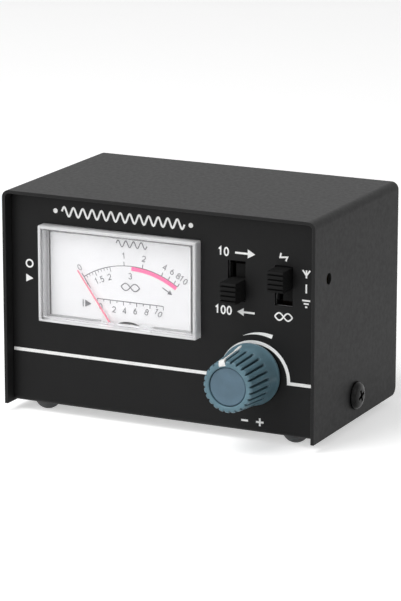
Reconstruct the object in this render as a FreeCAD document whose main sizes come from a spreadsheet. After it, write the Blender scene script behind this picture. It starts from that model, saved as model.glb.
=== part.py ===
"""Power and standing-wave meter for radio work: a folded steel box with a needle meter,
two slide switches, a calibration knob and two coaxial sockets at the rear.

Frame: +X to the right as seen from the front, +Y to the rear, +Z up, in millimetres.
The origin is on the ground between the four feet, in the middle of the whole object.
"""
import FreeCAD, Part
import math
import os
import re

import Sketcher
from FreeCAD import Placement, Rotation, Vector

os.makedirs("parts", exist_ok=True)
document = FreeCAD.newDocument("power_meter")

# --------------------------------------------------------------------------- sizes
# Every size that can be set by itself, once, in millimetres or degrees.
SIZES = {
    # clearances used throughout, and how far a cut runs past the face it opens
    "hole_clearance": 0.2,
    "thread_clearance": 0.03,
    "overcut": 0.1,
    # cover: one U of sheet steel over the top and both sides
    "cover_width": 102.0,
    "cover_height": 66.0,
    "cover_depth": 61.5,
    "cover_wall": 1.0,
    "cover_bend": 2.3,
    "cover_corner": 2.5,
    # chassis: front panel, floor and rear panel from one sheet, with two side tabs
    "chassis_wall": 1.0,
    "chassis_bend": 1.6,
    "panel_recess": 3.7,
    "rear_recess": 2.0,
    "floor_lift": 0.3,
    "least_bend": 0.1,
    "side_gap": 0.1,
    "roof_gap": 0.3,
    "tab_width": 13.0,
    "tab_height": 11.0,
    # cover screws, height and depth from the cover's lower front corner
    "cover_screw_depth": 30.5,
    "cover_screw_height": 7.4,
    "cover_screw_radius": 2.0,
    "cover_screw_length": 6.0,
    "cover_head_radius": 4.3,
    "cover_head_rise": 2.0,
    # feet
    "foot_stand": 2.5,
    "foot_radius": 4.0,
    "foot_flat": 1.5,
    "foot_inset_x": 9.8,
    "foot_inset_y": 9.5,
    # meter window and lens, heights above the cover's lower edge
    "lens_centre_x": -13.3,
    "lens_centre_up": 41.45,
    "lens_width": 52.2,
    "lens_tall": 29.3,
    "lens_stand": 3.2,
    "lens_wall": 1.2,
    "lens_fit": 0.2,
    "lens_rim": 2.6,
    "lens_rim_thick": 1.2,
    # meter case and movement
    "case_drop": 18.8,
    "case_depth": 21.0,
    "case_wall": 1.2,
    "pivot_x": -12.0,
    "pivot_up": 19.5,
    "needle_gap": 0.9,
    "needle_length": 28.4,
    "needle_width": 0.5,
    "needle_thick": 0.3,
    "needle_rest_angle": 35.5,
    "needle_step": 1.8,
    "dial_behind_needle": 1.05,
    "dial_thick": 0.5,
    "dial_shift": 1.6,
    "dial_margin": 5.5,
    "dial_top_up": 53.9,
    "dial_bottom_up": 13.5,
    "dial_corner": 1.3,
    "dial_notch": 8.0,
    "dial_screw_spread": 17.0,
    "dial_screw_radius": 0.9,
    "core_behind_dial": 4.3,
    "core_radius": 5.2,
    "core_length": 9.0,
    "yoke_outer": 10.0,
    "yoke_inner": 7.4,
    "coil_wall": 0.5,
    "coil_band": 2.4,
    "coil_gap": 0.4,
    "strap_thick": 0.5,
    "strap_width": 3.0,
    "hub_radius": 1.3,
    "pivot_radius": 0.35,
    "pivot_reach": 1.5,
    "spring_pitch": 0.6,
    "spring_thick": 0.12,
    "spring_wide": 0.3,
    "bridge_thick": 1.0,
    "bridge_tall": 4.4,
    "jewel_radius": 1.1,
    "terminal_spread": 24.0,
    "terminal_up": 37.0,
    "terminal_radius": 1.5,
    "terminal_length": 8.0,
    "stud_radius": 1.25,
    "stud_length": 6.0,
    "ear_width": 8.0,
    "ear_reach": 5.6,
    "ear_thick": 2.5,
    "ear_hole_reach": 3.1,
    # slide switches
    "slot_width": 5.6,
    "slot_tall": 12.0,
    "slot_up": 45.4,
    "range_x": 24.6,
    "mode_x": 39.6,
    "lever_width": 5.1,
    "lever_tall": 6.3,
    "lever_reach": 6.3,
    "lever_travel": 5.0,
    "slider_tall": 14.6,
    "slider_depth": 3.0,
    "slider_play": 0.1,
    "groove_pitch": 1.42,
    "groove_width": 0.48,
    "groove_depth": 0.5,
    "switch_gap": 0.3,
    "switch_width": 9.2,
    "switch_tall": 21.0,
    "switch_depth": 7.0,
    "switch_wall": 0.4,
    "switch_play": 0.2,
    "base_thick": 1.2,
    "clip_width": 1.6,
    "clip_tall": 6.1,
    "pin_radius": 0.4,
    "pin_pitch": 4.7,
    "pin_spread": 3.0,
    "pin_stand": 1.0,
    # control board behind the front panel
    "board_thick": 1.6,
    "control_left": 17.5,
    "control_side_gap": 1.4,
    "control_low": 28.8,
    "control_high": 61.0,
    # calibration control and knob
    "knob_x": 29.6,
    "knob_up": 18.2,
    "knob_reach": 17.0,
    "knob_gap": 0.6,
    "knob_front_radius": 7.7,
    "knob_back_radius": 8.5,
    "skirt_tall": 5.5,
    "skirt_radius": 9.35,
    "skirt_thick": 1.3,
    "flare_radius": 9.1,
    "knob_cavity": 7.0,
    "knob_cavity_depth": 5.2,
    "flute_radius": 0.75,
    "flute_count": 24,
    "pointer_angle": 14.0,
    "pointer_rise": 0.35,
    "pointer_width": 1.1,
    "cap_radius": 5.8,
    "cap_thick": 1.2,
    "cap_recess": 0.5,
    "cap_fit": 0.03,
    "shaft_cover": 0.8,
    "shaft_radius": 3.0,
    "shaft_fit": 0.05,
    "bushing_radius": 3.5,
    "bushing_reach": 5.0,
    "nut_across": 10.0,
    "nut_thick": 2.0,
    "washer_radius": 5.8,
    "washer_thick": 0.6,
    "pot_radius": 8.3,
    "pot_plate": 1.2,
    "pot_depth": 7.0,
    "pot_wall": 0.5,
    "wafer_thick": 1.2,
    "wafer_fit": 0.1,
    "wiper_gap": 0.6,
    "wiper_thick": 1.2,
    "leg_pitch": 5.0,
    "leg_up": 3.0,
    "leg_width": 1.2,
    "leg_thick": 0.4,
    "leg_clearance": 0.05,
    # trimmer behind the side hole
    "trim_depth": 9.9,
    "trim_up": 47.5,
    "trim_hole_radius": 1.75,
    "trimmer_side": 6.4,
    "trimmer_thick": 3.4,
    "rotor_radius": 2.2,
    "rotor_thick": 1.6,
    "rotor_fit": 0.05,
    "trimmer_gap": 1.6,
    # coaxial sockets on the rear panel
    "socket_x": 25.0,
    "socket_up": 31.0,
    "flange_side": 25.4,
    "flange_thick": 1.6,
    "flange_spacing": 18.2,
    "barrel_radius": 7.94,
    "barrel_length": 14.4,
    "barrel_bore": 5.9,
    "boss_radius": 7.5,
    "boss_length": 3.0,
    "insulator_recess": 1.2,
    "insulator_tail": 5.0,
    "contact_radius": 2.5,
    "contact_bore": 2.0,
    "contact_bore_depth": 12.0,
    "contact_tail": 9.0,
    "socket_fit": 0.03,
    "small_screw_radius": 1.5,
    "small_screw_length": 6.2,
    "small_head_radius": 2.8,
    "small_head_rise": 1.7,
    "small_nut_across": 5.5,
    "small_nut_thick": 2.4,
    # coupler board between the sockets
    "coupler_width": 78.0,
    "coupler_tall": 36.0,
    "coupler_gap": 6.2,
    "strip_thick": 0.3,
    "line_width": 7.0,
    "pickup_width": 2.0,
    "pickup_offset": 7.5,
    "part_stand": 0.5,
    "lead_radius": 0.3,
    "wire_radius": 0.65,
    "wire_pitch": 4.0,
    "wire_run": 10.0,
}

# Places and fits that follow from the sizes.
PLACES = {
    # depth of the knob's face ahead of the cover and of the socket mouths behind its front edge
    "ahead": "knob_reach - panel_recess",
    "behind": "cover_depth - rear_recess + flange_thick + barrel_length",
    "front_edge": "(ahead - behind) / 2",
    "base": "foot_stand",
    "side_in": "cover_width / 2 - cover_wall",
    "chassis_half": "side_in - side_gap",
    "roof_under": "base + cover_height - cover_wall",
    "panel_front": "front_edge + panel_recess",
    "panel_back": "panel_front + chassis_wall",
    "rear_face": "front_edge + cover_depth - rear_recess",
    "rear_inner": "rear_face - chassis_wall",
    "floor_under": "base + floor_lift",
    "floor_top": "floor_under + chassis_wall",
    "cover_screw_y": "front_edge + cover_screw_depth",
    "cover_screw_z": "base + cover_screw_height",
    # meter
    "lens_z": "base + lens_centre_up",
    "lens_front": "panel_front - lens_stand",
    "lens_rim_back": "panel_back + lens_rim_thick",
    "case_half": "lens_width / 2 + lens_rim",
    "case_top": "lens_z + lens_tall / 2 + lens_rim",
    "case_bottom": "lens_z - lens_tall / 2 - case_drop",
    "case_back": "lens_rim_back + case_depth",
    "pivot_z": "base + pivot_up",
    "needle_front": "panel_back + needle_gap - needle_thick / 2",
    "dial_centre_x": "lens_centre_x - dial_shift",
    "dial_width": "lens_width - dial_margin",
    "dial_front": "needle_front + needle_thick + dial_behind_needle",
    "core_front": "dial_front + dial_thick + core_behind_dial",
    "coil_inner_half": "core_length / 2 + strap_thick + coil_gap",
    "coil_mid": "core_front + core_length / 2",
    "coil_reach": "(core_radius + yoke_inner) / 2 + coil_wall / 2",
    "coil_end": "coil_inner_half + coil_wall",
    "bridge_front": "coil_mid - coil_end - pivot_reach - bridge_thick",
    "bridge_back": "coil_mid + coil_end + pivot_reach + bridge_thick",
    "ear_low_z": "case_bottom - ear_hole_reach",
    "ear_high_z": "case_top + ear_hole_reach",
    "terminal_z": "base + terminal_up",
    # switches
    "slot_z": "base + slot_up",
    "switch_front": "panel_back + switch_gap",
    "switch_back": "switch_front + switch_depth",
    "control_front": "switch_back + base_thick",
    "control_right": "side_in - control_side_gap",
    # knob and control
    "knob_z": "base + knob_up",
    "knob_back": "panel_front - knob_gap",
    "knob_face": "panel_front - knob_reach",
    "knob_tall": "knob_back - knob_face",
    "cap_seat": "knob_tall - cap_recess - cap_thick",
    "shaft_tip": "knob_face + cap_recess + cap_thick + shaft_cover",
    # trimmer
    "trim_y": "front_edge + trim_depth",
    "trim_z": "base + trim_up",
    "trimmer_face": "side_in - trimmer_gap",
    # sockets and coupler
    "socket_z": "base + socket_up",
    "coupler_back": "rear_inner - coupler_gap + board_thick",
    "coupler_front": "coupler_back - board_thick",
}


def fill_sheet(name, cells, as_text):
    """A spreadsheet with one named cell in each row."""
    sheet = document.addObject("Spreadsheet::Sheet", name)
    for row, (alias, content) in enumerate(cells.items(), start=1):
        sheet.set(f"A{row}", alias.replace("_", " "))
        sheet.set(f"B{row}", as_text(content))
        sheet.setAlias(f"B{row}", alias)
    return sheet


def full(formula):
    """Write each size and place in a formula with the name of its sheet."""
    def named(match):
        word = match.group(0)
        if word in SIZES:
            return f"sizes.{word}"
        if word in PLACES:
            return f"places.{word}"
        return word
    return re.sub(r"[a-z][a-z_]*", named, str(formula))


sizes = fill_sheet("sizes", SIZES, str)
document.recompute()
places = fill_sheet("places", PLACES, lambda formula: "=" + full(formula).replace("places.", ""))
document.recompute()


def size(name):
    """The present value of a size or place."""
    sheet = sizes if name in SIZES else places
    return float(getattr(sheet, name))


# ------------------------------------------------------------------- building blocks
TURNS = {
    "+Z": Rotation(),
    "-Z": Rotation(Vector(1, 0, 0), 180),
    "-Y": Rotation(Vector(1, 0, 0), 90),
    "+Y": Rotation(Vector(1, 0, 0), -90),
    "+X": Rotation(Vector(0, 1, 0), 90),
    "-X": Rotation(Vector(0, 1, 0), -90),
    "leaning": Rotation(Vector(0, 1, 0), 30),
}
SPRING_TURNS = 3
NODES = []
CUTS = []


def place(thing, x="0", y="0", z="0", turn="+Z"):
    """Set an object down with its own +Z along `turn`, its place bound to the sheets."""
    thing.Placement = Placement(Vector(), TURNS[turn])
    for axis, formula in zip("xyz", (x, y, z)):
        thing.setExpression(f"Placement.Base.{axis}", full(formula))


def new_body(name):
    return document.addObject("PartDesign::Body", name)


def finish(thing, name):
    """Name a finished sub-part."""
    thing.Label = name
    NODES.append(thing)
    return thing


def together(name, things):
    """Several like pieces as one sub-part of separate solids."""
    group = document.addObject("Part::Compound", name)
    group.Links = things
    return finish(group, name)


def sketch(body, plane="XY_Plane", level="0"):
    """An empty sketch on one of the body's own planes, lifted along its normal."""
    drawing = body.newObject("Sketcher::SketchObject", f"{body.Name}_sketch")
    support = [flat for flat in body.Origin.OriginFeatures if flat.Role == plane]
    drawing.AttachmentSupport = [(support[0], "")]
    drawing.MapMode = "FlatFace"
    drawing.setExpression("AttachmentOffset.Base.z", full(level))
    return drawing


def pin_point(drawing, geometry, point, x, y):
    """Hold a sketch point at two bound distances from the sketch's origin."""
    for kind, formula in (("DistanceX", x), ("DistanceY", y)):
        number = drawing.addConstraint(Sketcher.Constraint(kind, -1, 1, geometry, point, 1.0))
        drawing.setExpression(f"Constraints[{number}]", full(formula))


def outline(drawing, points):
    """A closed straight-sided outline; each corner is a pair of formulas."""
    count = len(points)
    start = [
        Vector(math.cos(2 * math.pi * i / count), math.sin(2 * math.pi * i / count), 0)
        for i in range(count)
    ]
    first = drawing.GeometryCount
    for i in range(count):
        drawing.addGeometry(Part.LineSegment(start[i], start[(i + 1) % count]))
    for i in range(count):
        following = first + (i + 1) % count
        drawing.addConstraint(Sketcher.Constraint("Coincident", first + i, 2, following, 1))
    for i, (x, y) in enumerate(points):
        pin_point(drawing, first + i, 1, x, y)


def rectangle(drawing, left, low, right, high):
    outline(drawing, [(left, low), (right, low), (right, high), (left, high)])


def ring(drawing, x, y, radius):
    """A circle with a bound centre and radius."""
    number = drawing.addGeometry(Part.Circle(Vector(1, 1, 0), Vector(0, 0, 1), 1.0))
    pin_point(drawing, number, 3, x, y)
    held = drawing.addConstraint(Sketcher.Constraint("Radius", number, 1.0))
    drawing.setExpression(f"Constraints[{held}]", full(radius))


def extrude(body, drawing, kind, length, backwards=False, both_ways=False):
    feature = body.newObject(f"PartDesign::{kind}", f"{body.Name}_{kind.lower()}")
    feature.Profile = drawing
    feature.setExpression("Length", full(length))
    feature.Reversed = backwards
    feature.SideType = "Symmetric" if both_ways else "One side"
    return feature


def pad(body, drawing, length, backwards=False, both_ways=False):
    return extrude(body, drawing, "Pad", length, backwards, both_ways)


def pocket(body, drawing, length, backwards=False, both_ways=False):
    """A cut; the volume check at the end of the file proves that it removed material."""
    feature = extrude(body, drawing, "Pocket", length, backwards, both_ways)
    CUTS.append((body, feature))
    return feature


def revolve(body, points):
    """A solid turned about the body's own Z axis; points are (radius, height) formulas."""
    drawing = sketch(body, "XZ_Plane")
    outline(drawing, points)
    feature = body.newObject("PartDesign::Revolution", f"{body.Name}_turned")
    feature.Profile = drawing
    feature.ReferenceAxis = (drawing, ["V_Axis"])
    feature.Angle = 360
    return feature


def edges(feature, wanted):
    """Names of the edges whose middle point and direction pass a test."""
    document.recompute()
    found = []
    for number, edge in enumerate(feature.Shape.Edges, start=1):
        middle = edge.valueAt((edge.FirstParameter + edge.LastParameter) / 2)
        if wanted(edge, middle):
            found.append(f"Edge{number}")
    return found


def round_edges(body, feature, names, radius):
    fillet = body.newObject("PartDesign::Fillet", f"{body.Name}_fillet")
    fillet.Base = (feature, names)
    fillet.setExpression("Radius", full(radius))
    return fillet


def along(edge, axis):
    """True for a straight edge along one axis."""
    if not isinstance(edge.Curve, Part.Line):
        return False
    return abs(getattr(edge.Curve.Direction, axis)) > 0.999


def near(value, wanted):
    return abs(value - wanted) < 0.01


def plate(name, left, low, right, high, front, thick):
    """A flat upright plate, its outline in X and Z, with `front` its face nearest -Y."""
    body = new_body(name)
    drawing = sketch(body, "XZ_Plane", f"-({front})")
    rectangle(drawing, left, low, right, high)
    pad(body, drawing, thick, backwards=True)
    return body


def through_holes(body, spots, radius):
    """Round holes along Y through an upright plate."""
    drawing = sketch(body, "XZ_Plane")
    for x, z in spots:
        ring(drawing, x, z, radius)
    return pocket(body, drawing, "3 * cover_depth", both_ways=True)


def rod(name, radius, low, high, bore=None):
    """A plain round bar or tube along the body's own Z axis."""
    body = new_body(name)
    inner = bore if bore else "0"
    revolve(body, [(inner, low), (radius, low), (radius, high), (inner, high)])
    return body


def screw(name, radius, length, head_radius, head_rise):
    """A round-headed screw with a cross recess; +Z leaves the head, 0 is under the head."""
    body = new_body(name)
    crown = f"({head_radius}) * 0.55"
    revolve(body, [
        ("0", f"-({length})"),
        (radius, f"-({length})"),
        (radius, "0"),
        (head_radius, "0"),
        (head_radius, f"({head_rise}) * 0.35"),
        (f"({head_radius}) * 0.86", f"({head_rise}) * 0.8"),
        (crown, head_rise),
        ("0", head_rise),
    ])
    arm = f"({head_radius}) * 0.52"
    web = f"({head_radius}) * 0.12"
    drawing = sketch(body, "XY_Plane", head_rise)
    outline(drawing, [
        (arm, f"-({web})"), (arm, web), (web, web), (web, arm), (f"-({web})", arm),
        (f"-({web})", web), (f"-({arm})", web), (f"-({arm})", f"-({web})"),
        (f"-({web})", f"-({web})"), (f"-({web})", f"-({arm})"), (web, f"-({arm})"),
        (web, f"-({web})"),
    ])
    pocket(body, drawing, f"({head_rise}) * 0.6")
    return body


def hex_nut(name, across, thick, bore):
    """A hexagon nut that sits on the body's own XY plane."""
    body = new_body(name)
    drawing = sketch(body)
    half = f"({across}) / 2"
    corner = f"({across}) / sqrt(3)"
    flat = f"({across}) / sqrt(12)"
    outline(drawing, [
        (corner, "0"), (flat, half), (f"-({flat})", half),
        (f"-({corner})", "0"), (f"-({flat})", f"-({half})"), (flat, f"-({half})"),
    ])
    ring(drawing, "0", "0", bore)
    pad(body, drawing, thick)
    return body


# ----------------------------------------------------------------------- steel box
def make_chassis():
    body = new_body("chassis")
    top = "(roof_under - roof_gap)"
    drawing = sketch(body, "YZ_Plane")
    outline(drawing, [
        ("panel_front", "floor_under"), ("rear_face", "floor_under"), ("rear_face", top),
        ("rear_inner", top), ("rear_inner", "floor_top"), ("panel_back", "floor_top"),
        ("panel_back", top), ("panel_front", top),
    ])
    sheet_metal = pad(body, drawing, "2 * chassis_half", both_ways=True)

    def at_bend(depths, height):
        return lambda edge, middle: (
            along(edge, "x")
            and near(middle.z, size(height))
            and any(near(middle.y, size(depth)) for depth in depths)
        )
    outer = edges(sheet_metal, at_bend(("panel_front", "rear_face"), "floor_under"))
    bent = round_edges(body, sheet_metal, outer, "chassis_bend")
    inner = edges(bent, at_bend(("panel_back", "rear_inner"), "floor_top"))
    bent = round_edges(body, bent, inner, "max(chassis_bend - chassis_wall; least_bend)")
    # both panels clear the bends of the cover
    upper = edges(bent, lambda edge, middle: (
        along(edge, "y")
        and near(abs(middle.x), size("chassis_half"))
        and near(middle.z, size("roof_under") - size("roof_gap"))))
    round_edges(body, bent, upper, "cover_bend")

    # one tab at each side takes the cover screw
    for side, level in (("-", "-chassis_half"), ("", "(chassis_half - chassis_wall)")):
        drawing = sketch(body, "YZ_Plane", level)
        rectangle(drawing, "cover_screw_y - tab_width / 2", "floor_under",
                  "cover_screw_y + tab_width / 2", "floor_under + tab_height")
        pad(body, drawing, "chassis_wall")
    drawing = sketch(body, "YZ_Plane")
    ring(drawing, "cover_screw_y", "cover_screw_z", "cover_screw_radius + thread_clearance")
    pocket(body, drawing, "3 * cover_width", both_ways=True)

    # threaded studs welded behind the panel hold the meter
    for height in ("ear_low_z", "ear_high_z"):
        drawing = sketch(body, "XZ_Plane", "-panel_back")
        ring(drawing, "lens_centre_x", height, "stud_radius")
        pad(body, drawing, "stud_length", backwards=True)

    # openings of the front panel
    drawing = sketch(body, "XZ_Plane", "-panel_front")
    rectangle(drawing, "lens_centre_x - lens_width / 2 - lens_fit",
              "lens_z - lens_tall / 2 - lens_fit",
              "lens_centre_x + lens_width / 2 + lens_fit",
              "lens_z + lens_tall / 2 + lens_fit")
    for centre in ("range_x", "mode_x"):
        rectangle(drawing, f"{centre} - slot_width / 2", "slot_z - slot_tall / 2",
                  f"{centre} + slot_width / 2", "slot_z + slot_tall / 2")
    ring(drawing, "knob_x", "knob_z", "bushing_radius + hole_clearance")
    pocket(body, drawing, "2 * chassis_wall", both_ways=True)

    # openings of the rear panel
    drawing = sketch(body, "XZ_Plane", "-rear_face")
    for sign in ("-", ""):
        centre = f"{sign}socket_x"
        ring(drawing, centre, "socket_z", "boss_radius + hole_clearance")
        for x, z in flange_corners(centre):
            ring(drawing, x, z, "small_screw_radius + hole_clearance")
    pocket(body, drawing, "2.5 * chassis_wall", both_ways=True)
    return finish(body, "chassis")


def flange_corners(centre):
    """The four screw places around a socket."""
    half = "flange_spacing / 2"
    return [
        (f"({centre}) {a} {half}", f"socket_z {b} {half}")
        for a in "+-" for b in "+-"
    ]


def make_cover():
    body = new_body("cover")
    drawing = sketch(body, "XZ_Plane", "-front_edge")
    outline(drawing, [
        ("-cover_width / 2", "base"), ("-cover_width / 2", "base + cover_height"),
        ("cover_width / 2", "base + cover_height"), ("cover_width / 2", "base"),
        ("side_in", "base"), ("side_in", "roof_under"),
        ("-side_in", "roof_under"), ("-side_in", "base"),
    ])
    sheet_metal = pad(body, drawing, "cover_depth", backwards=True)
    half_width = size("cover_width") / 2
    top = size("base") + size("cover_height")

    outer = edges(sheet_metal, lambda edge, middle: (
        along(edge, "y") and near(abs(middle.x), half_width) and near(middle.z, top)))
    bent = round_edges(body, sheet_metal, outer, "cover_bend")
    inner = edges(bent, lambda edge, middle: (
        along(edge, "y")
        and near(abs(middle.x), size("side_in"))
        and near(middle.z, size("roof_under"))))
    bent = round_edges(body, bent, inner, "max(cover_bend - cover_wall; least_bend)")
    corners = edges(bent, lambda edge, middle: (
        along(edge, "x")
        and near(middle.z, size("base"))
        and near(middle.y, size("front_edge") + size("cover_depth"))))
    round_edges(body, bent, corners, "cover_corner")

    drawing = sketch(body, "YZ_Plane")
    ring(drawing, "cover_screw_y", "cover_screw_z", "cover_screw_radius + hole_clearance")
    pocket(body, drawing, "2 * cover_width", both_ways=True)
    drawing = sketch(body, "YZ_Plane", "cover_width / 2")
    ring(drawing, "trim_y", "trim_z", "trim_hole_radius")
    pocket(body, drawing, "2 * cover_wall")
    return finish(body, "cover")


def make_cover_screws():
    screws = []
    for x, turn in (("cover_width / 2", "+X"), ("-cover_width / 2", "-X")):
        one = screw("cover_screw", "cover_screw_radius", "cover_screw_length",
                    "cover_head_radius", "cover_head_rise")
        place(one, x, "cover_screw_y", "cover_screw_z", turn)
        screws.append(one)
    together("cover_screws", screws)


def make_feet():
    feet = []
    rear_foot = "front_edge + cover_depth - foot_inset_y"
    for x in ("cover_width / 2 - foot_inset_x", "foot_inset_x - cover_width / 2"):
        for y in ("front_edge + foot_inset_y", rear_foot):
            body = new_body("foot")
            revolve(body, [
                ("0", "0"), ("foot_flat", "0"),
                ("0.62 * foot_radius", "0.2 * floor_under"),
                ("0.8 * foot_radius", "0.45 * floor_under"),
                ("0.94 * foot_radius", "0.75 * floor_under"),
                ("foot_radius", "floor_under"), ("0", "floor_under"),
            ])
            place(body, x, y)
            feet.append(body)
    together("feet", feet)


# --------------------------------------------------------------------- needle meter
def make_lens():
    body = new_body("meter_lens")
    left, right = "lens_centre_x - lens_width / 2", "lens_centre_x + lens_width / 2"
    low, high = "lens_z - lens_tall / 2", "lens_z + lens_tall / 2"
    drawing = sketch(body, "XZ_Plane", "-lens_front")
    rectangle(drawing, left, low, right, high)
    block = pad(body, drawing, "lens_rim_back - lens_front", backwards=True)
    crown = edges(block, lambda edge, middle: near(middle.y, size("lens_front")))
    round_edges(body, block, crown, "min(lens_wall * 0.4; lens_stand * 0.4)")
    drawing = sketch(body, "XZ_Plane", "-panel_back")
    rectangle(drawing, "lens_centre_x - case_half", "case_bottom",
              "lens_centre_x + case_half", "case_top")
    pad(body, drawing, "lens_rim_thick", backwards=True)
    # hollow behind the window, open to the rear
    drawing = sketch(body, "XZ_Plane", "-lens_rim_back")
    rectangle(drawing, f"{left} + lens_wall", f"{low} + lens_wall",
              f"{right} - lens_wall", f"{high} - lens_wall")
    pocket(body, drawing, "lens_rim_back - lens_front - lens_wall", backwards=True)
    # room below the window for the needle's sweep
    drawing = sketch(body, "XZ_Plane", "-lens_rim_back")
    rectangle(drawing, "pivot_x - 1.1 * dial_notch", "pivot_z - 3 * hub_radius",
              "pivot_x + 1.1 * dial_notch", f"{low} + lens_wall + overcut")
    pocket(body, drawing, "lens_rim_thick", backwards=True)
    return finish(body, "meter_lens")


def make_meter_case():
    body = new_body("meter_case")
    left, right = "lens_centre_x - case_half", "lens_centre_x + case_half"
    drawing = sketch(body, "XZ_Plane", "-lens_rim_back")
    rectangle(drawing, left, "case_bottom", right, "case_top")
    block = pad(body, drawing, "case_depth", backwards=True)
    upright = edges(block, lambda edge, middle: near(middle.y, size("case_back")))
    round_edges(body, block, upright, "case_wall")
    drawing = sketch(body, "XZ_Plane", "-lens_rim_back")
    rectangle(drawing, f"{left} + case_wall", "case_bottom + case_wall",
              f"{right} - case_wall", "case_top - case_wall")
    pocket(body, drawing, "case_depth - case_wall")
    # an ear above and one below, flat against the panel
    for low, high in (("case_top", "case_top + ear_reach"),
                      ("case_bottom - ear_reach", "case_bottom")):
        drawing = sketch(body, "XZ_Plane", "-panel_back")
        rectangle(drawing, "lens_centre_x - ear_width / 2", low,
                  "lens_centre_x + ear_width / 2", high)
        pad(body, drawing, "ear_thick", backwards=True)
    drawing = sketch(body, "XZ_Plane", "-panel_back")
    for height in ("ear_low_z", "ear_high_z"):
        ring(drawing, "lens_centre_x", height, "stud_radius + hole_clearance")
    pocket(body, drawing, "2.5 * ear_thick", both_ways=True)
    # pillars for the dial, and two low pads under the movement's frame
    inner_back = "(case_back - case_wall)"
    drawing = sketch(body, "XZ_Plane", f"-{inner_back}")
    for sign in "+-":
        ring(drawing, f"pivot_x {sign} dial_screw_spread", "pivot_z", "3 * dial_screw_radius")
    pad(body, drawing, f"{inner_back} - dial_front - dial_thick")
    drawing = sketch(body, "XZ_Plane", f"-{inner_back}")
    for sign in "+-":
        middle = f"(pivot_x {sign} (yoke_outer - bridge_tall / 4))"
        rectangle(drawing, f"{middle} - bridge_tall / 4", "pivot_z - bridge_tall / 2",
                  f"{middle} + bridge_tall / 4", "pivot_z + bridge_tall / 2")
    pad(body, drawing, f"{inner_back} - bridge_back")
    drawing = sketch(body, "XZ_Plane", "-dial_front")
    for sign in "+-":
        ring(drawing, f"pivot_x {sign} dial_screw_spread", "pivot_z",
             "dial_screw_radius + thread_clearance")
    pocket(body, drawing, "6 * dial_screw_radius + dial_thick")
    drawing = sketch(body, "XZ_Plane", "-case_back")
    for sign in "+-":
        ring(drawing, f"lens_centre_x {sign} terminal_spread / 2", "terminal_z",
             "terminal_radius + thread_clearance")
    pocket(body, drawing, "2.5 * case_wall", both_ways=True)
    return finish(body, "meter_case")


def make_meter_nuts():
    nuts = []
    for height in ("ear_low_z", "ear_high_z"):
        one = hex_nut("meter_nut", "4 * stud_radius", "1.6 * stud_radius",
                      "stud_radius + thread_clearance")
        place(one, "lens_centre_x", "panel_back + ear_thick", height, "+Y")
        nuts.append(one)
    together("meter_nuts", nuts)


def make_dial():
    body = new_body("dial_plate")
    drawing = sketch(body, "XZ_Plane", "-dial_front")
    low = "base + dial_bottom_up"
    rectangle(drawing, "dial_centre_x - dial_width / 2", low,
              "dial_centre_x + dial_width / 2", "base + dial_top_up")
    blank = pad(body, drawing, "dial_thick", backwards=True)
    corners = edges(blank, lambda edge, middle: along(edge, "y"))
    round_edges(body, blank, corners, "dial_corner")
    drawing = sketch(body, "XZ_Plane", "-dial_front")
    ring(drawing, "pivot_x", "pivot_z", "dial_notch")
    pocket(body, drawing, "3 * dial_thick", both_ways=True)
    drawing = sketch(body, "XZ_Plane", "-dial_front")
    rectangle(drawing, "pivot_x - dial_notch", "base", "pivot_x + dial_notch", "pivot_z")
    pocket(body, drawing, "3 * dial_thick", both_ways=True)
    through_holes(body, [
        (f"pivot_x {sign} dial_screw_spread", "pivot_z") for sign in "+-"
    ], "dial_screw_radius + hole_clearance")
    return finish(body, "dial_plate")


def make_dial_screws():
    screws = []
    for sign in "+-":
        one = screw("dial_screw", "dial_screw_radius", "4 * dial_screw_radius",
                    "1.8 * dial_screw_radius", "0.6 * dial_screw_radius")
        place(one, f"pivot_x {sign} dial_screw_spread", "dial_front", "pivot_z", "-Y")
        screws.append(one)
    together("dial_screws", screws)


def make_movement_frame():
    body = new_body("movement_frame")
    drawing = sketch(body, "XY_Plane", "pivot_z")
    reach = "(yoke_outer + thread_clearance)"
    rectangle(drawing, f"pivot_x - {reach} - bridge_thick", "bridge_front",
              f"pivot_x + {reach} + bridge_thick", "bridge_back")
    rectangle(drawing, f"pivot_x - {reach}", "bridge_front + bridge_thick",
              f"pivot_x + {reach}", "bridge_back - bridge_thick")
    pad(body, drawing, "bridge_tall", both_ways=True)
    through_holes(body, [("pivot_x", "pivot_z")], "jewel_radius + thread_clearance")
    return finish(body, "movement_frame")


def make_jewel_screws():
    """Each screw ends just short of the moving pivot's shoulder, around its tip."""
    screws = []
    for name, y, turn in (("jewel_front", "bridge_front + bridge_thick", "-Y"),
                          ("jewel_rear", "bridge_back - bridge_thick", "+Y")):
        body = new_body(name)
        revolve(body, [
            ("0", "0"), ("jewel_radius", "0"),
            ("jewel_radius", "2 * bridge_thick"), ("0", "2 * bridge_thick"),
        ])
        drawing = sketch(body, "XY_Plane", "2 * bridge_thick")
        rectangle(drawing, "-jewel_radius * 2", "-jewel_radius * 0.2",
                  "jewel_radius * 2", "jewel_radius * 0.2")
        pocket(body, drawing, "0.4 * bridge_thick")
        place(body, "pivot_x", y, "pivot_z", turn)
        screws.append(body)
    together("jewel_screws", screws)


def make_core_and_yoke():
    core = rod("core_magnet", "core_radius", "0", "core_length")
    place(core, "pivot_x", "core_front", "pivot_z", "+Y")
    finish(core, "core_magnet")
    yoke = rod("yoke_ring", "yoke_outer", "0", "core_length", "yoke_inner")
    place(yoke, "pivot_x", "core_front", "pivot_z", "+Y")
    finish(yoke, "yoke_ring")
    straps = [
        plate("core_strap", "pivot_x - strap_width / 2", "pivot_z - yoke_outer * 0.97",
              "pivot_x + strap_width / 2", "pivot_z + yoke_outer * 0.97", front, "strap_thick")
        for front in ("(core_front - strap_thick)", "(core_front + core_length)")
    ]
    together("core_straps", straps)


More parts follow.
